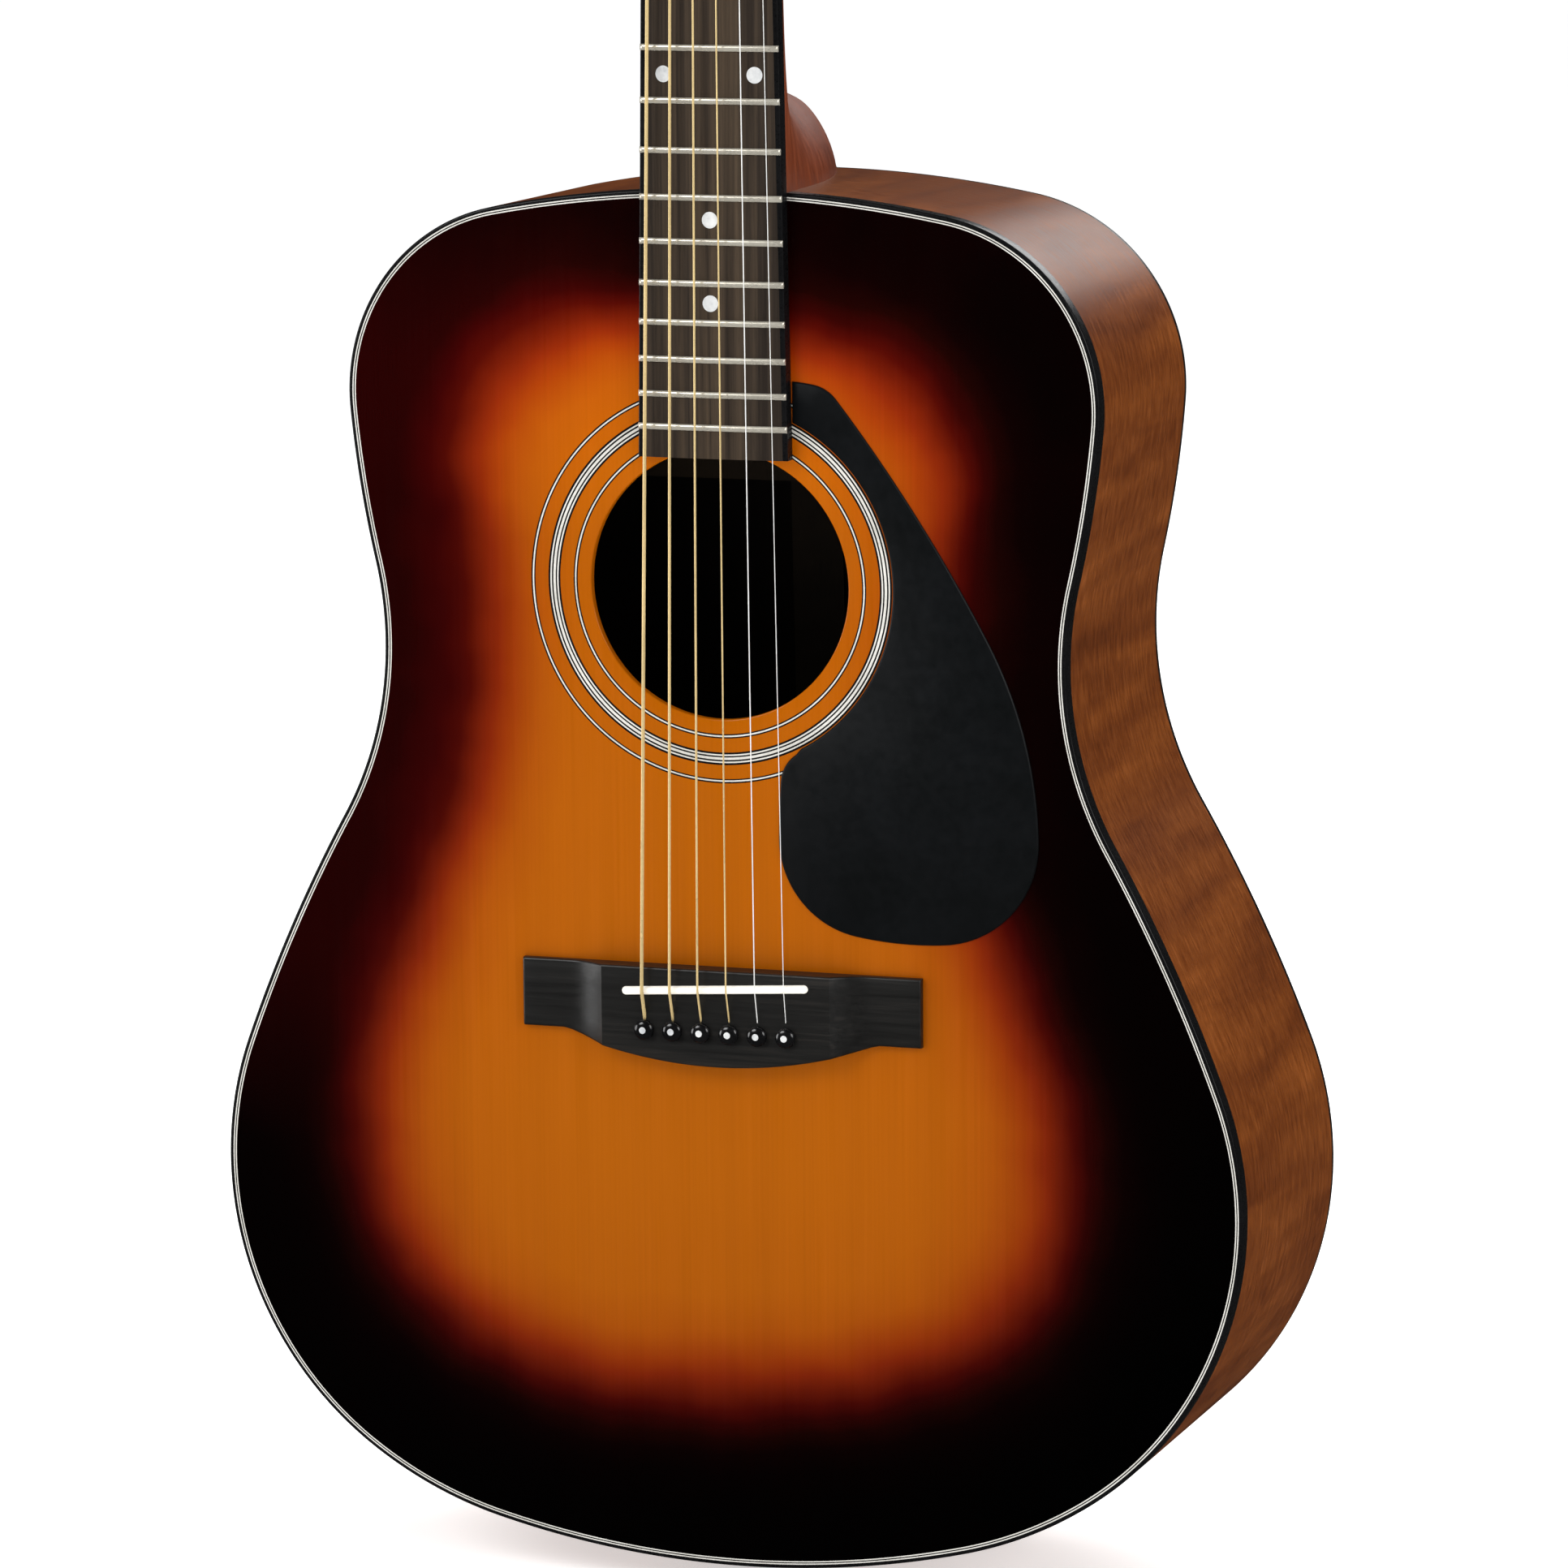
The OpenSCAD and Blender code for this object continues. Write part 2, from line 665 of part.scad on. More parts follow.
module frets() {
    color("silver") for (n = [1 : fret_count]) {
        z = fret_z(n);
        difference() {
            intersection() {
                plan(top_y - board_t - 3, top_y) board_plan(z - 1.15, z + 1.15);
                crown_bar(board_t + 1, z - 1.15, z + 1.15);
            }
            difference() {
                crown_bar(board_t, z - 2, z + 2);
                translate([-40, top_y - board_t - 1, z - 0.25]) cube([80, 2.8, 0.5]);
            }
        }
    }
}
module nut() {
    color("ivory") difference() {
        intersection() {
            plan(top_y - 10, top_y) translate([-nut_w / 2, nut_z]) square([nut_w, nut_t]);
            crown_bar(nut_crest + 0.6, nut_z, head_z);
        }
        for (k = [1 : 6]) {
            r = string_radii[k - 1] + fit_gap;
            p = string_at_nut(k);
            d = unit(string_at_post(k) - p);
            translate(p - [r, 10, 2]) cube([2 * r, 10 + r, 2]);
            translate(p) rotate([-asin(d[1]), atan2(d[0], d[2]), 0]) translate([-r, -10, -r])
                cube([2 * r, 10 + r, nut_t + 3]);
        }
    }
}

// Headstock
head_arcs = [[-26, 40], [20, 37], [3000, 2.2], [14, 75]];
head_half = closed_on_centre(head_arcs, [nut_w / 2, 0], 90);
module head_plate(y0, y1) {
    neck_frame() difference() {
        plan(y0, y1) polygon(mirrored(head_half, 0));
        for (k = [1 : 6]) {
            bore(-1, head_t + 1, post_x(k), post_z(k), 5);
            bore(head_t - 8, head_t + 1, post_x(k), post_z(k) + 12, 1.2, $fn = 24);
        }
    }
}
module headstock() { color("brown") head_plate(veneer_t, head_t); }
module headstock_veneer() { color("#1c1a19") head_plate(0, veneer_t); }

// Tuners: a worm on the button's shaft drives the gear wheel on the post
worm_drop = 10;
gear_y = head_t + 5.5;
gear_r = 6.6;
worm_r = 3;
shaft_r = 1.9;
housing_y = head_t + 11;
worm_half = 5;
button_gap = 7;
function head_edge(k) = 33 + 1.9 * post_row(k);
module at_post(k) {
    neck_frame() translate([post_x(k), 0, post_z(k)]) mirror([post_side(k) < 0 ? 1 : 0, 0, 0])
        children();
}
module along_x(x0, x1, y, z, r, fn = 32) {
    translate([x0, y, z]) rotate([0, 90, 0]) cylinder(r = r, h = x1 - x0, $fn = fn);
}
module tuner_housings() {
    color("silver") for (k = [1 : 6]) at_post(k) difference() {
        union() {
            bore(head_t, housing_y, 0, 0, 9.5);
            translate([-8, head_t, -16.5]) cube([17, 11, 13]);
            translate([-3.2, head_t, 6]) cube([6.4, 3, 6]);
            bore(head_t, head_t + 3, 0, 12, 3.2);
        }
        bore(gear_y - 2.6, gear_y + 2.6, 0, 0, 7.4);
        bore(head_t - 1, housing_y - 1.5, 0, 0, post_r + fit_gap);
        along_x(-worm_half - 0.4, worm_half + 0.4, gear_y, -worm_drop, 4.2);
        along_x(0, 20, gear_y, -worm_drop, shaft_r + fit_gap);
        bore(head_t - 1, head_t + 5, 0, 12, 1.3);
    }
}
module tuner_bushings() {
    color("silver") for (k = [1 : 6]) at_post(k) difference() {
        union() {
            bore(-0.8, 0, 0, 0, 7.2);
            bore(-3, 0, 0, 0, 5.8, $fn = 6);
            bore(-0.5, head_t, 0, 0, 4.95);
        }
        bore(-4, head_t + 1, 0, 0, post_r + fit_gap);
    }
}
module tuner_screws() {
    color("silver") for (k = [1 : 6]) at_post(k) {
        bore(head_t - 7.5, head_t + 3, 0, 12, 1.15, $fn = 24);
        bore(head_t + 3, head_t + 4.2, 0, 12, 2.3, $fn = 24);
    }
}
module gear_outline() {
    polygon([for (i = [0 : gear_teeth - 1])
        for (q = [[0, gear_r - 1.1], [0.35, gear_r - 1.1], [0.5, gear_r], [0.85, gear_r]])
            let (a = 360 * (i + q[0]) / gear_teeth) q[1] * [cos(a), sin(a)]]);
}
module tuner_post(k) {
    color("silver") at_post(k) difference() {
        union() {
            bore(-19, -17, 0, 0, post_r - 0.1, $fn = 32);
            bore(-17, housing_y - 1.6, 0, 0, post_r);
            plan(gear_y - 2.2, gear_y + 2.2) gear_outline();
        }
        translate([0, -13, -5]) cylinder(r = 0.9, h = 10, $fn = 24);
    }
}
function ellipse(rx, ry) = [for (a = [0 : 10 : 350]) [rx * cos(a), ry * sin(a)]];
module tuner_button(k) {
    edge = head_edge(k) - abs(post_x(k));
    color("silver") at_post(k) {
        along_x(-worm_half, worm_half, gear_y, -worm_drop, worm_r);
        along_x(0, edge + button_gap + 2, gear_y, -worm_drop, shaft_r);
        along_x(10, 13, gear_y, -worm_drop, 3.4);
        translate([edge + button_gap + 9, 0, -worm_drop]) plan(gear_y - 3.5, gear_y + 3.5)
            polygon(ellipse(9.5, 7.8));
    }
}
module tuner_post_1() { tuner_post(1); }
module tuner_post_2() { tuner_post(2); }
module tuner_post_3() { tuner_post(3); }
module tuner_post_4() { tuner_post(4); }
module tuner_post_5() { tuner_post(5); }
module tuner_post_6() { tuner_post(6); }
module tuner_button_1() { tuner_button(1); }
module tuner_button_2() { tuner_button(2); }
module tuner_button_3() { tuner_button(3); }
module tuner_button_4() { tuner_button(4); }
module tuner_button_5() { tuner_button(5); }
module tuner_button_6() { tuner_button(6); }

// Strings: from the ball under the bridge plate, over the saddle and the nut, to the post's turns
turns = 3;
turn_y = -8;
function unit(v) = v / norm(v);
function tube_ring(p, t, r) = let (u = unit([1, 0, 0] - t[0] * t), v = cross(t, u))
    [for (a = [0 : 45 : 315]) p + r * (cos(a) * u + sin(a) * v)];
function tangent(path, i) = unit(
    (i == len(path) - 1 ? [0, 0, 0] : unit(path[i + 1] - path[i]))
    + (i == 0 ? [0, 0, 0] : unit(path[i] - path[i - 1])));
module tube(path, r) {
    loft([for (i = [0 : len(path) - 1]) tube_ring(path[i], tangent(path, i), r)]);
}
// A string's tube ends just before the ring of its turns
function ring_clear(r) = sqrt(pow(post_r + fit_gap + 3 * r, 2) - pow(post_r + fit_gap + r, 2)) + 0.1;
function short_of(p, q, d) = q + d * unit(p - q);
function string_at_nut(k) = let (x = string_side(k) * nut_spread)
    [x, top_y - nut_crest + crown_drop(x, board_r) - string_radii[k - 1], nut_z + 0.5];
function string_at_post(k) = let (reach = post_r + fit_gap + string_radii[k - 1])
    head_point([post_x(k) - post_side(k) * reach, turn_y, post_z(k)]);
function string_route(k) = let (r = string_radii[k - 1], xs = string_side(k) * saddle_spread,
        groove = pin_z + 1.8, at_nut = string_at_nut(k))
    [[xs, inner_top_y + bridge_plate_t + 1.2, groove],
     [xs, top_y - bridge_t + 2.6, groove],
     [xs, top_y - bridge_t + 1, pin_z + 4.4],
     [xs, top_y - saddle_crest + crown_drop(xs, board_r) - r - fit_gap,
        saddle_z_at(xs) - saddle_t / 2 - 0.25 * r],
     at_nut,
     short_of(at_nut, string_at_post(k), ring_clear(r))];
module string(k) {
    r = string_radii[k - 1];
    route = string_route(k);
    color(k > 2 ? "goldenrod" : "silver") {
        tube(route, r);
        translate([route[0][0], inner_top_y + bridge_plate_t + 1.95, pin_z + 4.6])
            sphere(r = 1.9, $fn = 24);
        at_post(k) difference() {
            bore(turn_y + r - 2 * r * turns, turn_y + r, 0, 0, post_r + fit_gap + 2 * r);
            bore(turn_y - 8, turn_y + 4, 0, 0, post_r + fit_gap);
        }
    }
}
module string_1() { string(1); }
module string_2() { string(2); }
module string_3() { string(3); }
module string_4() { string(4); }
module string_5() { string(5); }
module string_6() { string(6); }

soundboard();
back_plate();
side_bass();
side_treble();
top_binding();
top_purfling();
back_binding();
rosette();
top_linings();
back_linings();
neck_block();
tail_block();
x_braces();
upper_face_brace();
tone_bars();
finger_braces();
soundhole_braces();
bridge_plate();
back_braces();
back_seam_strip();
tail_strip();
pickguard();
bridge();
saddle();
bridge_pins();
bridge_pin_dots();
strap_button();
neck();
headstock();
headstock_veneer();
heel_cap();
fingerboard();
fingerboard_binding();
frets();
fingerboard_dots();
nut();
truss_rod();
truss_rod_nut();
neck_bolts();
string_1();
string_2();
string_3();
string_4();
string_5();
string_6();
tuner_post_1();
tuner_post_2();
tuner_post_3();
tuner_post_4();
tuner_post_5();
tuner_post_6();
tuner_button_1();
tuner_button_2();
tuner_button_3();
tuner_button_4();
tuner_button_5();
tuner_button_6();
tuner_housings();
tuner_bushings();
tuner_screws();
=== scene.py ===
"""Looks of the steel-string acoustic guitar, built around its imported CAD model.

Lengths are in millimetres until a piece is made, and X, Y and Z are the part's own axes:
X from the bass side to the treble side, Y from the soundboard to the back, Z up the neck.
"""

import math

import bmesh
import bpy
import numpy as np
from mathutils import Matrix, Vector
from mathutils.geometry import delaunay_2d_cdt


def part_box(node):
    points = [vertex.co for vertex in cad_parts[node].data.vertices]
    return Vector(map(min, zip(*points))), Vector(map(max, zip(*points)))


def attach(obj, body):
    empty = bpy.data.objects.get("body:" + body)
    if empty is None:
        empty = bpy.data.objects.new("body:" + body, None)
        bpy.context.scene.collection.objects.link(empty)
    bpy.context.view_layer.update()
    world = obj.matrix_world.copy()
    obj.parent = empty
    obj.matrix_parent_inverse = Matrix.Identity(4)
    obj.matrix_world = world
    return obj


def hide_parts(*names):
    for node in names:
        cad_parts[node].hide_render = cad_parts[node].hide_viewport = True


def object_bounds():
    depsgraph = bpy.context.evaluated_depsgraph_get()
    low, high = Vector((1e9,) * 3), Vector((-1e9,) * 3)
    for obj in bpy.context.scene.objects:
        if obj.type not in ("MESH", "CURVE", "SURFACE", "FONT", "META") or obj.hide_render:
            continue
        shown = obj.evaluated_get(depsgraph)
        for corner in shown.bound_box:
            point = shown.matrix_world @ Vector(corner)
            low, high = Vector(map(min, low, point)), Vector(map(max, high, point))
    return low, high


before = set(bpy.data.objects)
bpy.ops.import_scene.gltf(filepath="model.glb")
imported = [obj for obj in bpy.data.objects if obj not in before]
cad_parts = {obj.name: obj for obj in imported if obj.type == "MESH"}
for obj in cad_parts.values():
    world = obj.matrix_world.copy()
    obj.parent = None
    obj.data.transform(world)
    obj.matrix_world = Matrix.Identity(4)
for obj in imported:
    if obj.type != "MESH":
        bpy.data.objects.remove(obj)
cad_lo, cad_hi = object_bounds()

MM = 0.001
bpy.context.scene.view_settings.view_transform = "Standard"


def put_in_scene(name, data):
    made = bpy.data.objects.new(name, data)
    bpy.context.scene.collection.objects.link(made)
    return made


# ---------------------------------------------------------------- camera
CAMERA_YAW = 19.23
CAMERA_PITCH = 9.34
CAMERA_ROLL = -0.42
CAMERA_AIM = (0.02435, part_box("soundboard")[0][1], 0.2939)
CAMERA_DISTANCE = 2.625
CAMERA_LENS = 166.46


def add_camera():
    yaw, pitch, roll = (math.radians(a) for a in (CAMERA_YAW, CAMERA_PITCH, CAMERA_ROLL))
    level = Vector((math.cos(yaw), math.sin(yaw), 0))
    forward = Vector((-math.sin(yaw) * math.cos(pitch), math.cos(yaw) * math.cos(pitch), -math.sin(pitch)))
    right = math.cos(roll) * level + math.sin(roll) * level.cross(forward)
    up = right.cross(forward)
    data = bpy.data.cameras.new("camera")
    data.lens = CAMERA_LENS
    data.sensor_width = 36
    data.clip_start = 0.05
    data.clip_end = 100
    camera = put_in_scene("camera", data)
    turn = Matrix((right, up, -forward)).transposed().to_4x4()
    camera.matrix_world = Matrix.Translation(Vector(CAMERA_AIM) - forward * CAMERA_DISTANCE) @ turn
    bpy.context.scene.camera = camera


add_camera()


# ---------------------------------------------------------------- sizes from the frame
def low(node):
    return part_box(node)[0] / MM


def high(node):
    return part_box(node)[1] / MM


TOP_Y = low("soundboard")[1]
BODY_L = high("top_binding")[2]
BACK_Y = high("back_binding")[1]
BACK_T = 3.0
BACK_FALL = (BACK_Y - low("back_binding")[1] - BACK_T) / BODY_L
BACK_COS = math.cos(math.atan(BACK_FALL))
SOUNDBOARD_T = high("soundboard")[1] - TOP_Y
BINDING_W = 1.5
PURFLING_W = 1.3
INLAY_T = 1.5
SIDE_T = 2.2
TOP_BINDING_H = high("top_binding")[1] - TOP_Y
HOLE_Z = (low("rosette")[2] + high("rosette")[2]) / 2
HOLE_R = 49.3
HOLE_SIDES = 128
RING_SIDES = 160
NUT_Z = low("nut")[2]
HEAD_Z = high("nut")[2]
NUT_W = high("nut")[0] - low("nut")[0]
JOINT_W = 54.0
BOARD_END_Z = low("fingerboard")[2]
BOARD_T = 6.5
CROWN_R = 400.0
SCALE_L = 634.0
SADDLE_LINE_Z = NUT_Z - SCALE_L
HEAD_ANGLE = math.radians(14)
STRING_PLACES = [(i - 2.5) / 5 for i in range(6)]
STRING_RADII = (0.15, 0.21, 0.31, 0.41, 0.54, 0.68)
TUNERS = range(1, 7)


def smooth(t):
    t = min(max(t, 0.0), 1.0)
    return t * t * (3 - 2 * t)


def board_half(z):
    """Half of the fingerboard's width, which tapers to the nut."""
    return NUT_W / 2 + (JOINT_W - NUT_W) / 2 * (NUT_Z - z) / (NUT_Z - BODY_L)


def crown_drop(x):
    """How far a crowned surface falls from its middle line at x."""
    return CROWN_R - math.sqrt(CROWN_R * CROWN_R - x * x)


def fret_z(n):
    return SADDLE_LINE_Z + SCALE_L * 2 ** (-n / 12)


def back_y(z, t=0.0):
    """Depth of the layer t inside the tilted back, at height z."""
    return BACK_Y - z * BACK_FALL - t / BACK_COS


def head_point(x, y, z):
    """A point of the headstock's own frame, whose Z leans back from the neck."""
    return (x, TOP_Y + y * math.cos(HEAD_ANGLE) + z * math.sin(HEAD_ANGLE),
            HEAD_Z - y * math.sin(HEAD_ANGLE) + z * math.cos(HEAD_ANGLE))


# ---------------------------------------------------------------- outlines
BODY_ARCS = ((365, 14.4), (155, 20.5), (131, 75.5), (600, 9.2), (-132, 42.6), (420, 7.7), (70, 84.5))
HEAD_ARCS = ((-26, 40), (20, 37), (3000, 2.2), (14, 75))
ARC_STEP = 2.2
CLOSING_STEPS = 26


def arc_points(x, z, heading, radius, sweep, steps):
    """Points on an arc from (x, z); a positive radius turns left. Returns them, its end and its heading."""
    turn = math.copysign(math.radians(sweep), radius)
    cx = x - radius * math.sin(heading)
    cz = z + radius * math.cos(heading)
    angles = [heading + turn * i / steps for i in range(steps + 1)]
    points = [(cx + radius * math.sin(a), cz - radius * math.cos(a)) for a in angles]
    return points[:-1], points[-1], angles[-1]


def half_outline(arcs, start, heading, inset=0.0, closes=True):
    """A chain of tangent arcs, moved inwards by inset, with as many points at every inset."""
    points = []
    end = start
    h = math.radians(heading)
    for radius, sweep in arcs:
        steps = max(2, math.ceil(abs(radius) * math.radians(sweep) / ARC_STEP))
        more, end, h = arc_points(*end, h, radius - inset, sweep, steps)
        points += more
    if closes:
        sweep = 180 - math.degrees(h)
        more, end, h = arc_points(*end, h, end[0] / math.sin(h), sweep, CLOSING_STEPS)
        points += more
        end = (0.0, end[1])
    return points + [end]


def mirrored(half, first=1):
    return half + [(-x, z) for x, z in reversed(half[first:-1])]


def rim(inset):
    return mirrored(half_outline(BODY_ARCS, (0.0, inset), 0, inset))


def full_turn(count):
    return [2 * math.pi * i / count for i in range(count)]


def circle(x, z, radius, count):
    return [(x + radius * math.cos(a), z + radius * math.sin(a)) for a in full_turn(count)]


def polar(radius, degrees, x=0.0, z=0.0):
    a = math.radians(degrees)
    return x + radius * math.cos(a), z + radius * math.sin(a)


def inset_loop(loop, distance):
    """Moves a left-turning closed outline inwards along its own normals."""
    p = np.array(loop, float)
    edge = np.roll(p, -1, 0) - p
    edge /= np.linalg.norm(edge, axis=1)[:, None]
    normal = np.stack([-edge[:, 1], edge[:, 0]], 1)
    mean = normal + np.roll(normal, 1, 0)
    mean /= np.linalg.norm(mean, axis=1)[:, None]
    reach = distance / np.clip((mean * normal).sum(1), 0.4, 1)
    return [tuple(q) for q in p + mean * reach[:, None]]


OUTLINE = np.array(rim(0.0))
OUTLINE_NEXT = np.roll(OUTLINE, -1, 0)
OUTLINE_STEP = np.linalg.norm(OUTLINE_NEXT - OUTLINE, axis=1)
OUTLINE_RUN = np.concatenate([[0], np.cumsum(OUTLINE_STEP)[:-1]])
HALF = np.array(half_outline(BODY_ARCS, (0.0, 0.0), 0))


def near_outline(points):
    """For each (x, z): its distance inside the outline, and how far along the outline it lies."""
    p = np.asarray(points, float)[:, None, :]
    d = OUTLINE_NEXT - OUTLINE
    t = np.clip(((p - OUTLINE) * d).sum(2) / (d * d).sum(1), 0, 1)
    away = np.linalg.norm(OUTLINE + t[..., None] * d - p, axis=2)
    best = away.argmin(1)
    rows = np.arange(len(best))
    return away[rows, best], OUTLINE_RUN[best] + t[rows, best] * OUTLINE_STEP[best]


def body_half(z):
    return float(np.interp(z, HALF[:, 1], HALF[:, 0]))


def neck_end(x):
    """Height of the body's upper edge at x, near the centre line."""
    upper = HALF[HALF[:, 1] > BODY_L - 40][::-1]
    return float(np.interp(abs(x), upper[:, 0], upper[:, 1]))


# ---------------------------------------------------------------- mesh building
class Shell:
    """Collects the points and faces of one piece. A face's paint is the index of its material."""

    def __init__(self):
        self.points = []
        self.faces = []
        self.paint = []

    def add(self, points, faces, paint=0):
        base = len(self.points)
        self.points += points
        self.faces += [[base + i for i in face] for face in faces]
        self.paint += [paint] * len(faces)
        return self

    def loft(self, rings, paint=0, paints=None, caps=True, wraps=False, closes=True):
        """Skins rings of the same count. paints gives each side of the ring its own material."""
        count = len(rings[0])
        last = len(rings) if wraps else len(rings) - 1
        for j in range(count if closes else count - 1):
            k = (j + 1) % count
            sides = []
            for i in range(last):
                n = (i + 1) % len(rings)
                sides.append((i * count + j, i * count + k, n * count + k, n * count + j))
            strip = paints[j] if paints else paint
            base = len(self.points)
            self.faces += [[base + i for i in face] for face in sides]
            self.paint += [strip] * len(sides)
        top = (len(rings) - 1) * count
        ends = [] if wraps or not caps else [list(range(count)), list(range(top, top + count))]
        self.add([p for ring in rings for p in ring], ends, paint)
        return self

    def wall(self, loops):
        """Skins loops round the body, or round a hole, into one open wall."""
        return self.loft(band(loops), caps=False, wraps=True, closes=False)

    def hoop(self, loops, paints=None):
        """Skins loops round the body into a closed hoop."""
        return self.loft(band(loops), paints=paints, wraps=True)

    def plate(self, loop, place, holes=(), spacing=0.0, paint=0):
        """Fills an outline, less its round holes (x, z, radius, count), with triangles put by place."""
        points = [Vector(p) for p in loop]
        edges = [(i, (i + 1) % len(loop)) for i in range(len(loop))]
        for x, z, radius, count in holes:
            base = len(points)
            points += [Vector(p) for p in circle(x, z, radius, count)]
            edges += [(base + i, base + (i + 1) % count) for i in range(count)]
        if spacing:
            points += [Vector(p) for p in grid_inside(loop, holes, spacing)]
        points, _, faces, *_ = delaunay_2d_cdt(points, edges, [], 1, 1e-5)
        kept = []
        for face in faces:
            middle = sum((points[i] for i in face), Vector((0, 0))) / len(face)
            if all((middle - Vector((x, z))).length > radius * math.cos(math.pi / count)
                   for x, z, radius, count in holes):
                kept.append(list(face))
        return self.add([place(p.x, p.y) for p in points], kept, paint)


def grid_inside(loop, holes, spacing):
    """Grid points inside an outline and outside its holes, clear of every edge."""
    edge = np.array(loop)
    lo = edge.min(0)
    hi = edge.max(0)
    xs = np.arange(lo[0] + spacing / 2, hi[0], spacing)
    zs = np.arange(lo[1] + spacing / 2, hi[1], spacing)
    found = []
    for z in zs:
        below = edge[:, 1] < z
        crossing = np.nonzero(below != np.roll(below, -1))[0]
        after = np.roll(edge, -1, 0)
        cuts = sorted(edge[i, 0] + (z - edge[i, 1]) / (after[i, 1] - edge[i, 1]) * (after[i, 0] - edge[i, 0])
                      for i in crossing)
        for start, end in zip(cuts[::2], cuts[1::2]):
            found += [(x, z) for x in xs if start + spacing * 0.6 < x < end - spacing * 0.6]
    found = np.array(found)
    clear = np.ones(len(found), bool)
    for x, z, radius, _ in holes:
        clear &= np.hypot(found[:, 0] - x, found[:, 1] - z) > radius + spacing * 0.6
    apart = found[:, None] - edge[None, ::2]
    nearest = np.min(np.hypot(apart[..., 0], apart[..., 1]), 1)
    return found[clear & (nearest > spacing * 0.5)].tolist()


WELD = 0.002


def piece(name, shell, materials, body="guitar", stands_for=(), sharp=35):
    """Makes one piece from a shell, and lets it ride on a CAD body."""
    mesh = bpy.data.meshes.new(name)
    mesh.from_pydata([[c * MM for c in p] for p in shell.points], [], shell.faces)
    for material in materials:
        mesh.materials.append(material)
    mesh.polygons.foreach_set("material_index", shell.paint)
    work = bmesh.new()
    work.from_mesh(mesh)
    bmesh.ops.remove_doubles(work, verts=work.verts, dist=WELD * MM)
    bmesh.ops.dissolve_degenerate(work, edges=work.edges, dist=WELD * MM / 2)
    bmesh.ops.recalc_face_normals(work, faces=work.faces)
    work.to_mesh(mesh)
    work.free()
    mesh.polygons.foreach_set("use_smooth", [True] * len(mesh.polygons))
    mesh.set_sharp_from_angle(angle=math.radians(sharp))
    made = put_in_scene(name, mesh)
    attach(made, body)
    if stands_for:
        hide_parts(*stands_for)
    return made


def mesh_points(made):
    points = np.zeros(len(made.data.vertices) * 3)
    made.data.vertices.foreach_get("co", points)
    return points.reshape(-1, 3) / MM


def give_float(made, name, values):
    made.data.attributes.new(name, "FLOAT", "POINT").data.foreach_set("value", np.asarray(values, np.float32))


def give_vector(made, name, values):
    made.data.attributes.new(name, "FLOAT_VECTOR", "POINT").data.foreach_set(
        "vector", np.asarray(values, np.float32).ravel())


def band(loops):
    """Turns loops round the body into the rings of a loft along it."""
    return [list(ring) for ring in zip(*loops)]


def level_loop(inset, y):
    return [(x, TOP_Y + y, z) for x, z in rim(inset)]


def back_loop(inset, t):
    return [(x, back_y(z, t), z) for x, z in rim(inset)]


def lathe(shell, profile, place, count=32):
    """Turns a profile of (radius, height) about the axis of place, which takes (across, height, up)."""
    return shell.loft([[place(radius * math.cos(a), height, radius * math.sin(a)) for a in full_turn(count)]
                       for radius, height in profile])


def tube(shell, path, radius, count=12):
    """A round tube along a path, turned as little as possible from one ring to the next."""
    path = [Vector(p) for p in path]
    tangents = []
    for i in range(len(path)):
        before = (path[i] - path[i - 1]).normalized() if i else Vector()
        after = (path[i + 1] - path[i]).normalized() if i + 1 < len(path) else Vector()
        tangents.append((before + after).normalized())
    side = tangents[0].orthogonal().normalized()
    rings = []
    for point, tangent in zip(path, tangents):
        side = (side - side.dot(tangent) * tangent).normalized()
        other = tangent.cross(side)
        rings.append([tuple(point + radius * (math.cos(a) * side + math.sin(a) * other))
                      for a in full_turn(count)])
    return shell.loft(rings)


# ---------------------------------------------------------------- materials
def linear(color):
    """Display colour, 0 to 255, as the linear colour that a shader takes."""
    shares = [c / 255 for c in color]
    return tuple(c / 12.92 if c <= 0.04045 else ((c + 0.055) / 1.055) ** 2.4 for c in shares) + (1.0,)


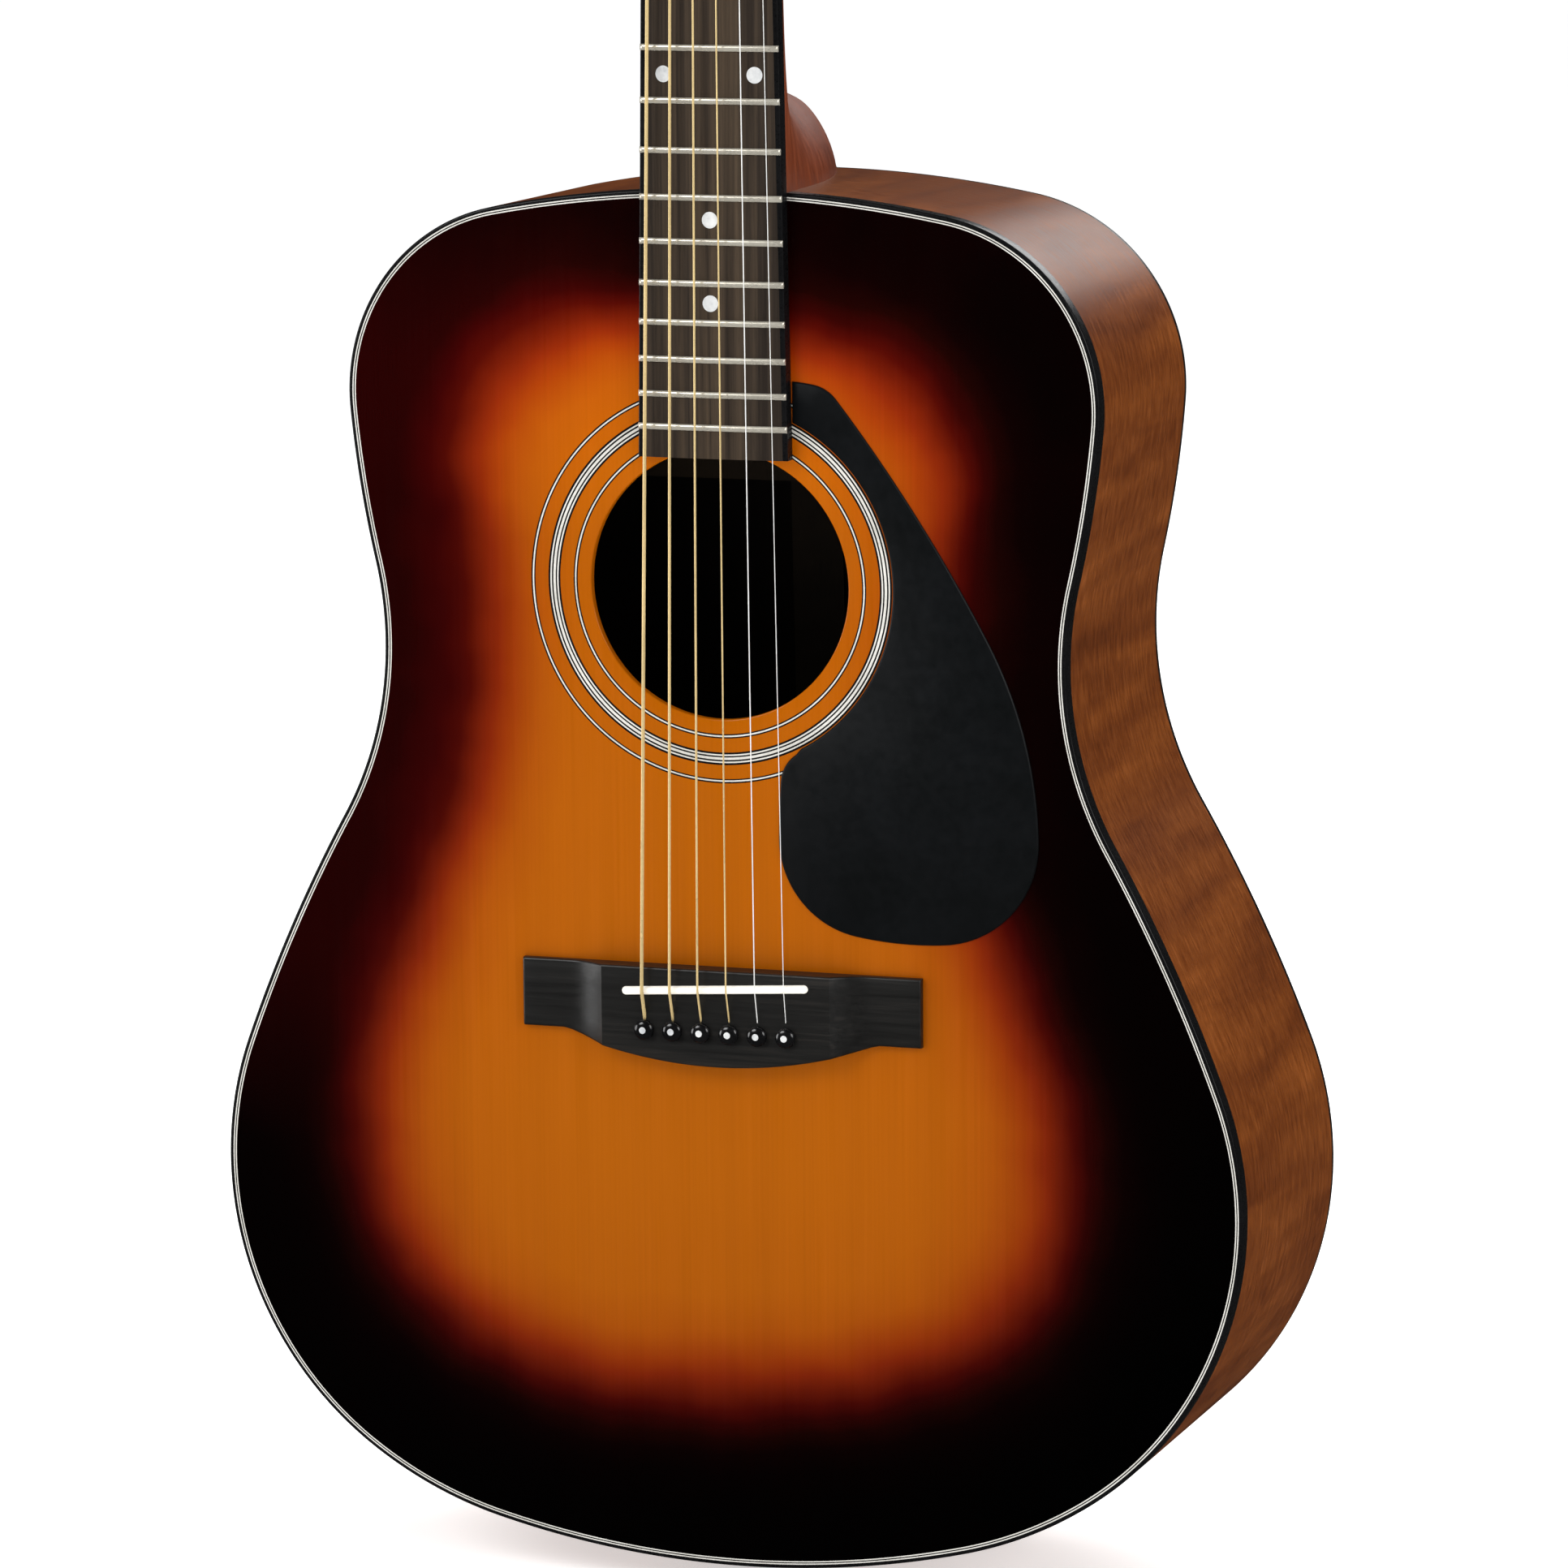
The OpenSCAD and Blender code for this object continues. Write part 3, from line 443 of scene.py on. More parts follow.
class Finish:
    """One procedural material on a Principled shader, with short names for the nodes it uses."""

    def __init__(self, name, **sockets):
        self.material = bpy.data.materials.new(name)
        self.material.use_nodes = True
        self.tree = self.material.node_tree
        self.shader = self.tree.nodes["Principled BSDF"]
        for socket, value in sockets.items():
            self.shader.inputs[socket.replace("_", " ")].default_value = value
        self.place = self.tree.nodes.new("ShaderNodeTexCoord").outputs["Object"]

    def node(self, kind, inputs, **settings):
        made = self.tree.nodes.new("ShaderNode" + kind)
        for key, value in settings.items():
            setattr(made, key, value)
        for key, value in inputs.items():
            if isinstance(value, bpy.types.NodeSocket):
                self.tree.links.new(value, made.inputs[key])
            else:
                made.inputs[key].default_value = value
        return made

    def attribute(self, name, output="Fac"):
        return self.node("Attribute", {}, attribute_name=name).outputs[output]

    def stretched(self, scale, source=None):
        """Coordinates in metres times a scale for each axis."""
        return self.node("Mapping", {"Vector": source or self.place, "Scale": scale}).outputs["Vector"]

    def noise(self, vector, detail=3.0, distortion=0.0, roughness=0.5):
        return self.node("TexNoise", {"Vector": vector, "Scale": 1.0, "Detail": detail,
                                      "Distortion": distortion, "Roughness": roughness}).outputs["Fac"]

    def cloud(self, scale, detail=3.0):
        """Noise of the same scale in every direction."""
        return self.noise(self.stretched((scale, scale, scale)), detail)

    def blend(self, a, b, share):
        """The value share * a + (1 - share) * b."""
        return self.math("ADD", self.math("MULTIPLY", a, share), self.math("MULTIPLY", b, 1 - share))

    def ramp(self, fac, stops):
        """stops are (position, display colour)."""
        made = self.node("ValToRGB", {"Fac": fac})
        elements = made.color_ramp.elements
        while len(elements) < len(stops):
            elements.new(0.5)
        for element, (position, color) in zip(elements, sorted(stops)):
            element.position = position
            element.color = linear(color)
        return made.outputs["Color"]

    def spread(self, fac, low_in, high_in, low_out=0.0, high_out=1.0):
        return self.node("MapRange", {"Value": fac, "From Min": low_in, "From Max": high_in,
                                      "To Min": low_out, "To Max": high_out}).outputs["Result"]

    def math(self, operation, a, b):
        return self.node("Math", {0: a, 1: b}, operation=operation).outputs[0]

    def mix(self, fac, a, b, blend="MIX"):
        made = self.node("Mix", {"Factor": fac}, data_type="RGBA", blend_type=blend)
        for key, value in (("A", a), ("B", b)):
            socket = [s for s in made.inputs if s.name == key and s.type == "RGBA"][0]
            if isinstance(value, bpy.types.NodeSocket):
                self.tree.links.new(value, socket)
            else:
                socket.default_value = value
        return [s for s in made.outputs if s.type == "RGBA"][0]

    def color(self, socket):
        self.tree.links.new(socket, self.shader.inputs["Base Color"])
        return self

    def roughness(self, fac, low_out, high_out):
        self.tree.links.new(self.spread(fac, 0.3, 0.7, low_out, high_out), self.shader.inputs["Roughness"])
        return self

    def bump(self, height, distance, strength):
        made = self.node("Bump", {"Height": height, "Distance": distance, "Strength": strength})
        self.tree.links.new(made.outputs["Normal"], self.shader.inputs["Normal"])
        return self


BURST_LOW = -50.0
BURST_HIGH = 100.0
# Display colours against the distance, in mm, from the middle of the sunburst's dark edge
BURST_DARK = ((-46, (0, 0, 0)), (-30, (5, 0, 0)), (-22, (11, 0, 0)), (-16, (24, 1, 0)), (-10, (45, 1, 0)))
BURST_WARM = ((-50, (8, 0, 0)), (-40, (22, 0, 0)), (-29, (28, 0, 0)), (-17, (34, 0, 0)), (-11, (52, 0, 0)))
BURST_AMBER = ((-5, (72, 5, 0)), (0, (100, 20, 1)), (6, (130, 35, 2)), (12, (152, 54, 1)), (18, (165, 70, 1)),
               (24, (175, 82, 1)), (36, (184, 93, 1)), (60, (188, 98, 1)))


def burst_stops(stops):
    return [((u - BURST_LOW) / (BURST_HIGH - BURST_LOW), color) for u, color in stops]


def sunburst():
    made = Finish("sunburst_with_painted_light_and_shade", Roughness=0.2, Coat_Weight=0.06, Coat_Roughness=0.08,
                  Specular_IOR_Level=0.12)
    u = made.attribute("burst")
    cloud = made.cloud(30, 2.0)
    u = made.math("ADD", u, made.spread(cloud, 0.3, 0.7, -0.012, 0.012))
    dark = made.ramp(u, burst_stops(BURST_DARK + BURST_AMBER))
    warm = made.ramp(u, burst_stops(BURST_WARM + BURST_AMBER))
    color = made.mix(made.attribute("warm"), dark, warm)
    # Painted shade and painted light: by height, the lower body is darkened to about 0.7 and the upper bout
    # brightened up to 1.3 times, standing in for how the light falls on the soundboard.
    height = made.node("SeparateXYZ", {"Vector": made.place}).outputs["Z"]
    shade = made.math("MULTIPLY", made.spread(height, 0.12, 0.30, 0.67, 0.77),
                      made.spread(height, 0.38, 0.47, 0.84, 1.3))
    color = made.mix(1.0, color, shade, "MULTIPLY")
    lines = made.noise(made.stretched((760, 760, 7)), detail=4.0, roughness=0.65)
    bands = made.noise(made.stretched((90, 90, 1.2)), detail=2.0)
    streak = made.math("MULTIPLY", made.spread(lines, 0.3, 0.7, 0.95, 1.05),
                       made.spread(bands, 0.3, 0.7, 0.97, 1.03))
    color = made.mix(1.0, color, streak, "MULTIPLY")
    return made.color(color).roughness(lines, 0.13, 0.2).bump(lines, 0.00003, 0.12).material


def wood(name, stops, scale, gloss, source=None, pores=(1500, 1500, 130), broad=None, specular=0.14):
    """Straight-grained wood: long streaks, broad bands and short dark pores."""
    made = Finish(name, Specular_IOR_Level=specular)
    start = made.attribute(source, "Vector") if source else made.place
    streaks = made.noise(made.stretched(scale, start), detail=5.0, distortion=0.35, roughness=0.6)
    broad = broad or tuple(s / 9 for s in scale)
    bands = made.noise(made.stretched(broad, start), detail=3.0, distortion=0.3)
    color = made.ramp(made.spread(made.blend(streaks, bands, 0.55), 0.32, 0.68), stops)
    flecks = made.noise(made.stretched(pores, start), detail=2.0, roughness=0.7)
    shade = made.spread(flecks, 0.56, 0.74, 1.0, 0.72)
    color = made.mix(1.0, color, shade, "MULTIPLY")
    relief = made.math("ADD", streaks, flecks)
    return made.color(color).roughness(streaks, *gloss).bump(relief, 0.0001, 0.25).material


def plastic(name, base, speck, gloss, grain=900, **sockets):
    """Moulded or polished plastic with a faint mottle."""
    made = Finish(name, **sockets)
    fine = made.cloud(grain, 4.0)
    value = made.blend(fine, made.cloud(45, 2.0), 0.4)
    color = made.ramp(made.spread(value, 0.35, 0.65), ((0.0, base), (1.0, speck)))
    return made.color(color).roughness(fine, *gloss).bump(fine, 0.00002, 0.3).material


def metal(name, base, worn, gloss, metallic, scale=(2500, 250, 2500)):
    """Polished metal with fine brushing and slightly duller patches."""
    made = Finish(name, Metallic=metallic)
    brush = made.noise(made.stretched(scale), detail=3.0)
    patch = made.cloud(70)
    color = made.ramp(made.spread(patch, 0.35, 0.7), ((0.0, base), (1.0, worn)))
    mean = made.math("MULTIPLY", made.math("ADD", brush, patch), 0.5)
    return made.color(color).roughness(mean, *gloss).bump(brush, 0.00001, 0.3).material


def winding(name, base, groove, pitch, gloss, metallic):
    """Metal wire wound round a string: fine turns across its length."""
    made = Finish(name, Metallic=metallic)
    turns = made.node("TexWave", {"Vector": made.place, "Scale": 1 / (pitch * MM * 2 * math.pi) * 2},
                      bands_direction="Z").outputs["Fac"]
    tarnish = made.noise(made.stretched((60, 60, 25)), detail=3.0)
    # Painted shade: the colour darkens towards groove between the turns, where shade falls.
    color = made.ramp(turns, ((0.0, groove), (0.6, base)))
    color = made.mix(1.0, color, made.spread(tarnish, 0.3, 0.7, 0.85, 1.05), "MULTIPLY")
    return made.color(color).roughness(tarnish, *gloss).bump(turns, 0.00004, 0.35).material


MAHOGANY = ((0.0, (72, 30, 1)), (0.35, (94, 43, 4)), (0.65, (110, 55, 9)), (1.0, (132, 70, 20)))
SUNBURST = sunburst()
SIDE_WOOD = wood("side_mahogany", MAHOGANY, source="grain", scale=(90, 700, 700), pores=(300, 1600, 1600),
                 gloss=(0.34, 0.46), broad=(60, 9, 9))
BACK_WOOD = wood("back_mahogany", MAHOGANY, source="grain", scale=(300, 300, 7), pores=(1300, 1300, 110),
                 gloss=(0.28, 0.4))
NECK_WOOD = wood("neck_mahogany", ((0.0, (82, 32, 10)), (0.5, (108, 46, 16)), (1.0, (132, 62, 28))),
                 scale=(330, 330, 12), gloss=(0.36, 0.5))
BOARD_WOOD = wood("fingerboard_rosewood", ((0.0, (25, 19, 15)), (0.45, (41, 33, 26)), (1.0, (70, 57, 43))),
                  scale=(420, 420, 5), pores=(1500, 1500, 60), gloss=(0.42, 0.6))
BRIDGE_WOOD = wood("bridge_ebony", ((0.0, (12, 11, 10)), (0.6, (21, 20, 18)), (1.0, (36, 31, 26))),
                   scale=(14, 420, 420), pores=(90, 1500, 1500), gloss=(0.36, 0.46), specular=0.5)
# Painted shade: the inner faces of the top, sides and back are far darker than the real mahogany, so the
# sound hole reads as deep shade.
SHADED_INSIDE_WOOD = wood("inside_mahogany_painted_shade", ((0.0, (9, 5, 3)), (1.0, (19, 11, 7))), scale=(300, 300, 12),
                   gloss=(0.7, 0.85))
# Painted shade: the linings, blocks, bridge plate and braces are much darker than their real light woods,
# standing in for the shade inside the body.
SHADED_LINING_WOOD = wood("inner_wood", ((0.0, (34, 22, 13)), (1.0, (52, 37, 24))), scale=(300, 300, 300),
                   gloss=(0.6, 0.75))
SHADED_BLOCK_WOOD = wood("block_wood", ((0.0, (30, 18, 10)), (1.0, (46, 30, 19))), scale=(16, 380, 380),
                  gloss=(0.6, 0.75))
SHADED_BRACE_WOOD = wood("brace_spruce", ((0.0, (30, 22, 14)), (1.0, (46, 36, 24))), scale=(20, 520, 20),
                  gloss=(0.55, 0.7))
BLACK_EDGE = plastic("black_binding", (9, 9, 10), (16, 16, 17), (0.25, 0.35), Specular_IOR_Level=0.15)
WHITE_LINE = plastic("white_purfling", (178, 176, 168), (204, 202, 196), (0.3, 0.4))
GUARD = plastic("pickguard_black", (8, 10, 11), (12, 14, 16), (0.34, 0.42), grain=300,
                Specular_IOR_Level=0.15)
VENEER = plastic("headstock_black", (8, 8, 9), (13, 13, 14), (0.12, 0.18), Coat_Weight=0.4)
PIN_BLACK = plastic("pin_black", (8, 8, 9), (14, 14, 15), (0.14, 0.22))
PEARL_DOT = plastic("pearl_white", (168, 170, 172), (206, 207, 206), (0.25, 0.35), grain=500)
BONE = plastic("nut_bone", (232, 226, 212), (247, 243, 234), (0.32, 0.45), grain=1400)
CHROME = metal("tuner_chrome", (206, 208, 210), (178, 180, 184), (0.12, 0.22), metallic=0.5)
NICKEL = metal("fret_nickel", (214, 209, 194), (192, 186, 172), (0.2, 0.32), scale=(300, 2500, 2500),
               metallic=0.6)
STEEL = metal("rod_steel", (150, 152, 155), (118, 118, 120), (0.3, 0.5), metallic=0.6)
BRASS = metal("nut_brass", (208, 168, 84), (176, 138, 66), (0.25, 0.4), metallic=0.6)
PLAIN_STRING = metal("string_steel", (240, 240, 238), (226, 226, 222), (0.25, 0.4), metallic=0.3)
WOUND_STRING = winding("string_bronze", (232, 208, 152), (186, 156, 98), 0.35, (0.25, 0.4), metallic=0.35)


# ---------------------------------------------------------------- body
def burst_width(x, z):
    """Distance from the edge to the middle of the sunburst's dark band, on both sides."""
    bass = np.interp(z, (0, 90, 150, 200, 300, 408, 484, 508), (63, 60, 53, 43, 40, 40.5, 44, 41.5))
    treble = np.interp(z, (0, 50, 120, 200, 300, 380, 435, 484, 508), (63, 68, 66, 58, 50, 45, 54, 54, 44.5))
    share = np.clip(x / 80 + 0.5, 0, 1)
    return bass + (treble - bass) * share


BURST_ROUND = 34.0
BURST_SAMPLES = 12


def burst_reach(x, z):
    """Distance inwards from the middle of the dark band, level on the far side of the body's middle."""
    inside, _ = near_outline(np.stack([x, z], 1))
    return np.minimum(inside - burst_width(x, z), 60)


def paint_burst(made):
    points = mesh_points(made)
    x = points[:, 0]
    z = points[:, 2]
    # The mean over a ring round each point rounds off the corners of the burst
    ring = circle(0, 0, BURST_ROUND, BURST_SAMPLES)
    u = sum(burst_reach(x + dx, z + dz) for dx, dz in ring) / BURST_SAMPLES
    give_float(made, "burst", (u - BURST_LOW) / (BURST_HIGH - BURST_LOW))
    # The dark band turns dark red in place of black on the upper bass side, the side that faces the key
    # light.
    warm = np.clip((-x - 20) / 70, 0, 1) * np.clip((z - 150) / 80, 0, 1) * np.clip((505 - z) / 60, 0, 1)
    give_float(made, "warm", warm)


def add_soundboard():
    edge = BINDING_W + PURFLING_W
    soft = 0.6
    shell = Shell()
    hole = (0.0, HOLE_Z, HOLE_R + soft, HOLE_SIDES)
    back_hole = (0.0, HOLE_Z, HOLE_R, HOLE_SIDES)
    shell.plate(rim(edge), lambda x, z: (x, TOP_Y, z), [hole], spacing=5.0)
    shell.plate(rim(BINDING_W), lambda x, z: (x, TOP_Y + SOUNDBOARD_T, z), [back_hole], paint=1)
    shell.wall([level_loop(edge, 0), level_loop(edge, INLAY_T), level_loop(BINDING_W, INLAY_T),
                level_loop(BINDING_W, SOUNDBOARD_T)])
    hole_wall = [(HOLE_R + soft * (1 - math.sin(a)), soft * (1 - math.cos(a)))
                 for a in (math.radians(d) for d in (0, 30, 60, 90))] + [(HOLE_R, SOUNDBOARD_T)]
    shell.wall([[(x, TOP_Y + depth, z) for x, z in circle(0, HOLE_Z, radius, HOLE_SIDES)]
                for radius, depth in hole_wall])
    paint_burst(piece("soundboard_top", shell, [SUNBURST, SHADED_INSIDE_WOOD],
                      stands_for=["soundboard"]))


def add_purfling():
    insets = [BINDING_W + PURFLING_W * k / 3 for k in range(4)]
    loops = [level_loop(i, 0) for i in insets]
    loops += [level_loop(insets[-1], INLAY_T), level_loop(BINDING_W, INLAY_T)]
    shell = Shell().hoop(loops, [0, 1, 0, 0, 0, 0])
    piece("purfling_lines", shell, [WHITE_LINE, BLACK_EDGE], stands_for=["top_purfling"])


def add_rosette():
    lift = -0.05
    inner = (54.6, 55.1, 55.65, 56.15)
    thick = (61.35, 62.05, 62.6, 63.15, 64.05, 64.65, 65.2, 65.95)
    outer = (71.1, 71.55, 72.1, 72.65)
    shell = Shell()
    for radii in (inner, thick, outer):
        profile = [(r, lift) for r in radii] + [(radii[-1], INLAY_T), (radii[0], INLAY_T)]
        loops = [[(x, TOP_Y + y, z) for x, z in circle(0, HOLE_Z, r, RING_SIDES)] for r, y in profile]
        paints = [(k + 1) % 2 for k in range(len(radii) - 1)] + [1, 1, 1]
        shell.hoop(loops, paints)
    piece("rosette_lines", shell, [WHITE_LINE, BLACK_EDGE], stands_for=["rosette"])


def rounded_corner(radius, steps=4):
    """(across, down) from the flat face to the wall of a rounded corner."""
    angles = [math.pi / 2 * i / steps for i in range(steps + 1)]
    return [(radius * (1 - math.sin(a)), radius * (1 - math.cos(a))) for a in angles]


def add_bindings():
    soft = 0.8
    for name, loop_at, height, node in (("binding_top", level_loop, TOP_BINDING_H, "top_binding"),
                                        ("binding_back", back_loop, BACK_T, "back_binding")):
        section = [(BINDING_W, 0)] + rounded_corner(soft) + [(0, height), (BINDING_W, height)]
        shell = Shell().hoop([loop_at(inset, depth) for inset, depth in section])
        piece(name, shell, [BLACK_EDGE], stands_for=[node])


STRIP_HALF = 9.0
TAIL_R = BODY_ARCS[0][0]


def tail_arc(inset, a):
    r = TAIL_R - inset
    return r * math.sin(a), TAIL_R - r * math.cos(a)


def side_profile(point_at):
    """The six corners of the side's section; point_at gives the plan point of an inset."""
    def corner(inset, depth):
        x, z = point_at(inset)
        return x, depth(z), z
    skin = TOP_Y + TOP_BINDING_H
    under = TOP_Y + SOUNDBOARD_T
    return [corner(0, lambda z: skin), corner(0, lambda z: back_y(z, BACK_T)),
            corner(SIDE_T, lambda z: back_y(z, BACK_T)), corner(SIDE_T, lambda z: under),
            corner(BINDING_W, lambda z: under), corner(BINDING_W, lambda z: skin)]


def grain_along_side(made):
    points = mesh_points(made)
    _, run = near_outline(points[:, [0, 2]])
    give_vector(made, "grain", np.stack([run, points[:, 1], np.zeros(len(run))], 1) * MM)


def add_sides():
    start = math.asin(STRIP_HALF / TAIL_R)
    insets = (0, BINDING_W, SIDE_T)
    halves = {i: half_outline(BODY_ARCS, (0.0, i), 0, i) for i in insets}
    first = next(k for k, p in enumerate(halves[0]) if p[0] > STRIP_HALF + 1)
    for name, side, node in (("side_wood_bass", -1, "side_bass"), ("side_wood_treble", 1, "side_treble")):
        def at(inset, k):
            x, z = tail_arc(inset, start) if k < 0 else halves[inset][first + k]
            return side * x, z
        rings = [side_profile(lambda inset, k=k: at(inset, k)) for k in range(-1, len(halves[0]) - first)]
        shell = Shell().loft(rings, paints=[0, 0, 1, 1, 0, 0])
        grain_along_side(piece(name, shell, [SIDE_WOOD, SHADED_INSIDE_WOOD], stands_for=[node]))
    angles = [start * (i / 5 - 1) for i in range(11)]
    shell = Shell().loft([side_profile(lambda inset, a=a: tail_arc(inset, a)) for a in angles])
    piece("tail_inlay", shell, [BLACK_EDGE], stands_for=["tail_strip"])


BACK_RISE = 3.5


def back_arch(x, z):
    """How far the arched back stands out from its edge."""
    across = 1 - (x / max(body_half(z) - BINDING_W, 1)) ** 2
    along = 1 - abs(2 * z / BODY_L - 1) ** 4
    return BACK_RISE * max(across, 0) * max(along, 0)


def add_back():
    loop = rim(BINDING_W)
    shell = Shell()
    shell.plate(loop, lambda x, z: (x, back_y(z) + back_arch(x, z), z), spacing=6.0)
    shell.plate(loop, lambda x, z: (x, back_y(z, BACK_T), z), paint=1)
    shell.wall([[(x, back_y(z) + back_arch(x, z), z) for x, z in loop], back_loop(BINDING_W, BACK_T)])
    made = piece("back_panel", shell, [BACK_WOOD, SHADED_INSIDE_WOOD], stands_for=["back_plate"])
    points = mesh_points(made)
    # The two halves are opened from one board, so the figure mirrors at the middle
    give_vector(made, "grain", np.stack([np.abs(points[:, 0]), points[:, 1] * 0, points[:, 2]], 1) * MM)


# ---------------------------------------------------------------- neck
NECK_D_NUT = 14.5
NECK_D_BODY = 17.5
HEAD_T = 15.0
HEAD_SOFT = 2.0
POST_X = 20.5
POST_SPREAD = 1.5
POST_Z = 45.0
POST_PITCH = 40.0
BLEND_L = 30.0
HEEL_TOP = 13.5
HEEL_END = high("heel_cap")[1] - 2.0 - TOP_Y
HEEL_CAP_X = 9.5
HEEL_CAP_REACH = 18.5
HEEL_BACK = 4.0
# The neck's sections: heights above the body on the heel cap, then shares of the heel's depth
CAP_STATIONS = (0, 3, 6, 9, 12, 14.5, 16.5, 17.6, 18.2)
HEEL_STATIONS = (1, 0.998, 0.99, 0.975, 0.95, 0.92, 0.88, 0.82, 0.74, 0.66, 0.58, 0.5, 0.42, 0.35, 0.29,
                 0.24, 0.2, 0.16, 0.13, 0.1, 0.075, 0.05, 0.025, 0, -0.03, -0.06)


def heel_half(u):
    return HEEL_CAP_X + (JOINT_W / 2 - 1 - HEEL_CAP_X) * (1 - max(u, 0.0) ** 2.4)


def heel_reach(u):
    return HEEL_CAP_REACH + 19.6 * math.sqrt(max(1 - u, 0.0)) + 50 * math.exp(-9 * u)


def heel_share(depth):
    return (depth - HEEL_TOP) / (HEEL_END - HEEL_TOP)


def squareness(z):
    """0 on the rounded shaft, 1 where it meets the flat headstock."""
    return smooth((z - (HEAD_Z - BLEND_L)) / BLEND_L)


def shaft_depth(z):
    rounded = NECK_D_NUT + (NECK_D_BODY - NECK_D_NUT) * (NUT_Z - z) / (NUT_Z - BODY_L)
    square = squareness(z)
    return rounded * (1 - square) + HEAD_T * math.cos(HEAD_ANGLE) * square


def shaft_width(z, depth):
    """Half width of the neck's D-shaped section, squared off where it meets the headstock."""
    square = squareness(z)
    full = shaft_depth(z)
    half = board_half(min(z, NUT_Z))
    share = min(depth / full, 1.0)
    curve = half * math.sqrt(max(0.0, 1 - share ** (2 / 1.3)))
    over = max(0.0, depth - (full - HEAD_SOFT))
    flat = half - HEAD_SOFT + math.sqrt(max(0.0, HEAD_SOFT ** 2 - over ** 2))
    return curve + (flat - curve) * square if depth <= full + 1e-6 else 0.0


def heel_width(z, depth):
    u = heel_share(depth)
    share = (z - BODY_L + HEEL_BACK) / (heel_reach(u) + HEEL_BACK)
    return heel_half(u) * max(0.0, 1 - max(share, 0.0) ** 2) ** 0.9


def neck_bottom(z):
    """Depth of the neck's middle line, where the heel runs out into the shaft."""
    shaft = shaft_depth(z)
    above = z - BODY_L
    if above <= HEEL_CAP_REACH:
        return HEEL_END
    near = 1.0
    far = heel_share(0.0)
    for _ in range(40):
        middle = (near + far) / 2
        if heel_reach(middle) < above:
            near = middle
        else:
            far = middle
    heel = HEEL_TOP + near * (HEEL_END - HEEL_TOP)
    apart = shaft - heel
    return (shaft + heel + math.sqrt(apart * apart + 1.5)) / 2 if heel > 0.5 else shaft


def neck_ring(z):
    steps = 20
    bottom = neck_bottom(z)
    lean = smooth((z - (HEAD_Z - 22)) / 22) * math.tan(HEAD_ANGLE)
    half = []
    for j in range(steps + 1):
        depth = bottom * math.sin(math.pi / 2 * j / steps)
        s = shaft_width(z, depth)
        h = heel_width(z, depth)
        soft = 0.02 * s * h * smooth(depth / 10)
        half.append(((s + h + math.sqrt((s - h) ** 2 + soft)) / 2, depth))
    half[0] = (board_half(min(z, NUT_Z)), 0.0)
    ring = half + [(0.0, bottom)] + [(-x, d) for x, d in reversed(half)]
    on_body = z <= BODY_L
    return [(x, TOP_Y + d, (neck_end(x) if on_body else z) - lean * d) for x, d in ring]


def add_neck():
    zs = [BODY_L + a for a in CAP_STATIONS + tuple(heel_reach(u) for u in HEEL_STATIONS)]
    start = zs[-1] + 10
    zs += [start + (HEAD_Z - BLEND_L - start) * i / 12 for i in range(13)]
    zs += [HEAD_Z - BLEND_L + BLEND_L * i / 12 for i in range(1, 13)]
    shell = Shell().loft([neck_ring(z) for z in zs])
    piece("neck_shaft", shell, [NECK_WOOD], stands_for=["neck"], sharp=40)


def add_heel_cap():
    turn = [math.radians(a) for a in range(0, 181, 6)]
    plan = [(heel_half(1) * math.copysign(abs(math.cos(t)) ** 1.8, math.cos(t)),
             BODY_L - HEEL_BACK + (HEEL_CAP_REACH + HEEL_BACK) * math.sin(t)) for t in turn]
    plan = [(x, max(z, neck_end(x))) for x, z in plan]
    soft = rounded_corner(0.6, 3)
    thick = high("heel_cap")[1] - TOP_Y - HEEL_END
    rings = [[(x, TOP_Y + HEEL_END, z) for x, z in plan]]
    rings += [[(x, TOP_Y + HEEL_END + thick - down, z) for x, z in inset_loop(plan, across)]
              for across, down in reversed(soft)]
    piece("heel_plate", Shell().loft(rings), [BLACK_EDGE], stands_for=["heel_cap"])


def head_loop(inset):
    return mirrored(half_outline(HEAD_ARCS, (NUT_W / 2 - inset, 0.0), 90, inset), 0)


def post_row(k):
    """0 for the pair of tuners nearest the nut, 2 for the furthest."""
    return k - 1 if k <= 3 else 6 - k


def post_place(k):
    """X and Z of a post in the headstock's frame, and the side that it stands on."""
    side = 1 if k <= 3 else -1
    return side * (POST_X + POST_SPREAD * post_row(k)), POST_Z + POST_PITCH * post_row(k), side


def add_headstock():
    veneer = 1.2
    holes = [(post_place(k)[0], post_place(k)[1], 5.0, 32) for k in TUNERS]
    soft = rounded_corner(HEAD_SOFT, 5)
    wood_edge = [(0.0, veneer)] + [(i, HEAD_T - d) for i, d in reversed(soft)]
    for name, front, back, edges, finish, slot, node in (
            ("head_veneer", 0.0, veneer, [(0.5, 0.0), (0.15, 0.15), (0.0, 0.5), (0.0, veneer)], VENEER,
             "bridge_ebony", "headstock_veneer"),
            ("head_wood", veneer, HEAD_T, wood_edge, NECK_WOOD, "neck_mahogany", "headstock")):
        shell = Shell()
        shell.plate(head_loop(edges[0][0]), lambda x, z, y=front: head_point(x, y, z), holes)
        shell.plate(head_loop(edges[-1][0]), lambda x, z, y=back: head_point(x, y, z), holes)
        loops = [[head_point(x, y, z) for x, z in head_loop(i)] for i, y in edges]
        shell.wall(loops)
        for x, z, radius, count in holes:
            shell.wall([[head_point(px, y, pz) for px, pz in circle(x, z, radius, count)]
                        for y in (front, back)])
        piece(name, shell, [finish], stands_for=[node])


# ---------------------------------------------------------------- fingerboard
EDGE_W = 1.8
SINGLE_DOTS = (3, 5, 7, 9, 15, 17)
PAIR_DOT = 12
PAIR_X = 17.3


def board_top(x):
    return TOP_Y - BOARD_T + crown_drop(x)


def board_stations():
    return [BOARD_END_Z + (NUT_Z - BOARD_END_Z) * i / 24 for i in range(25)]


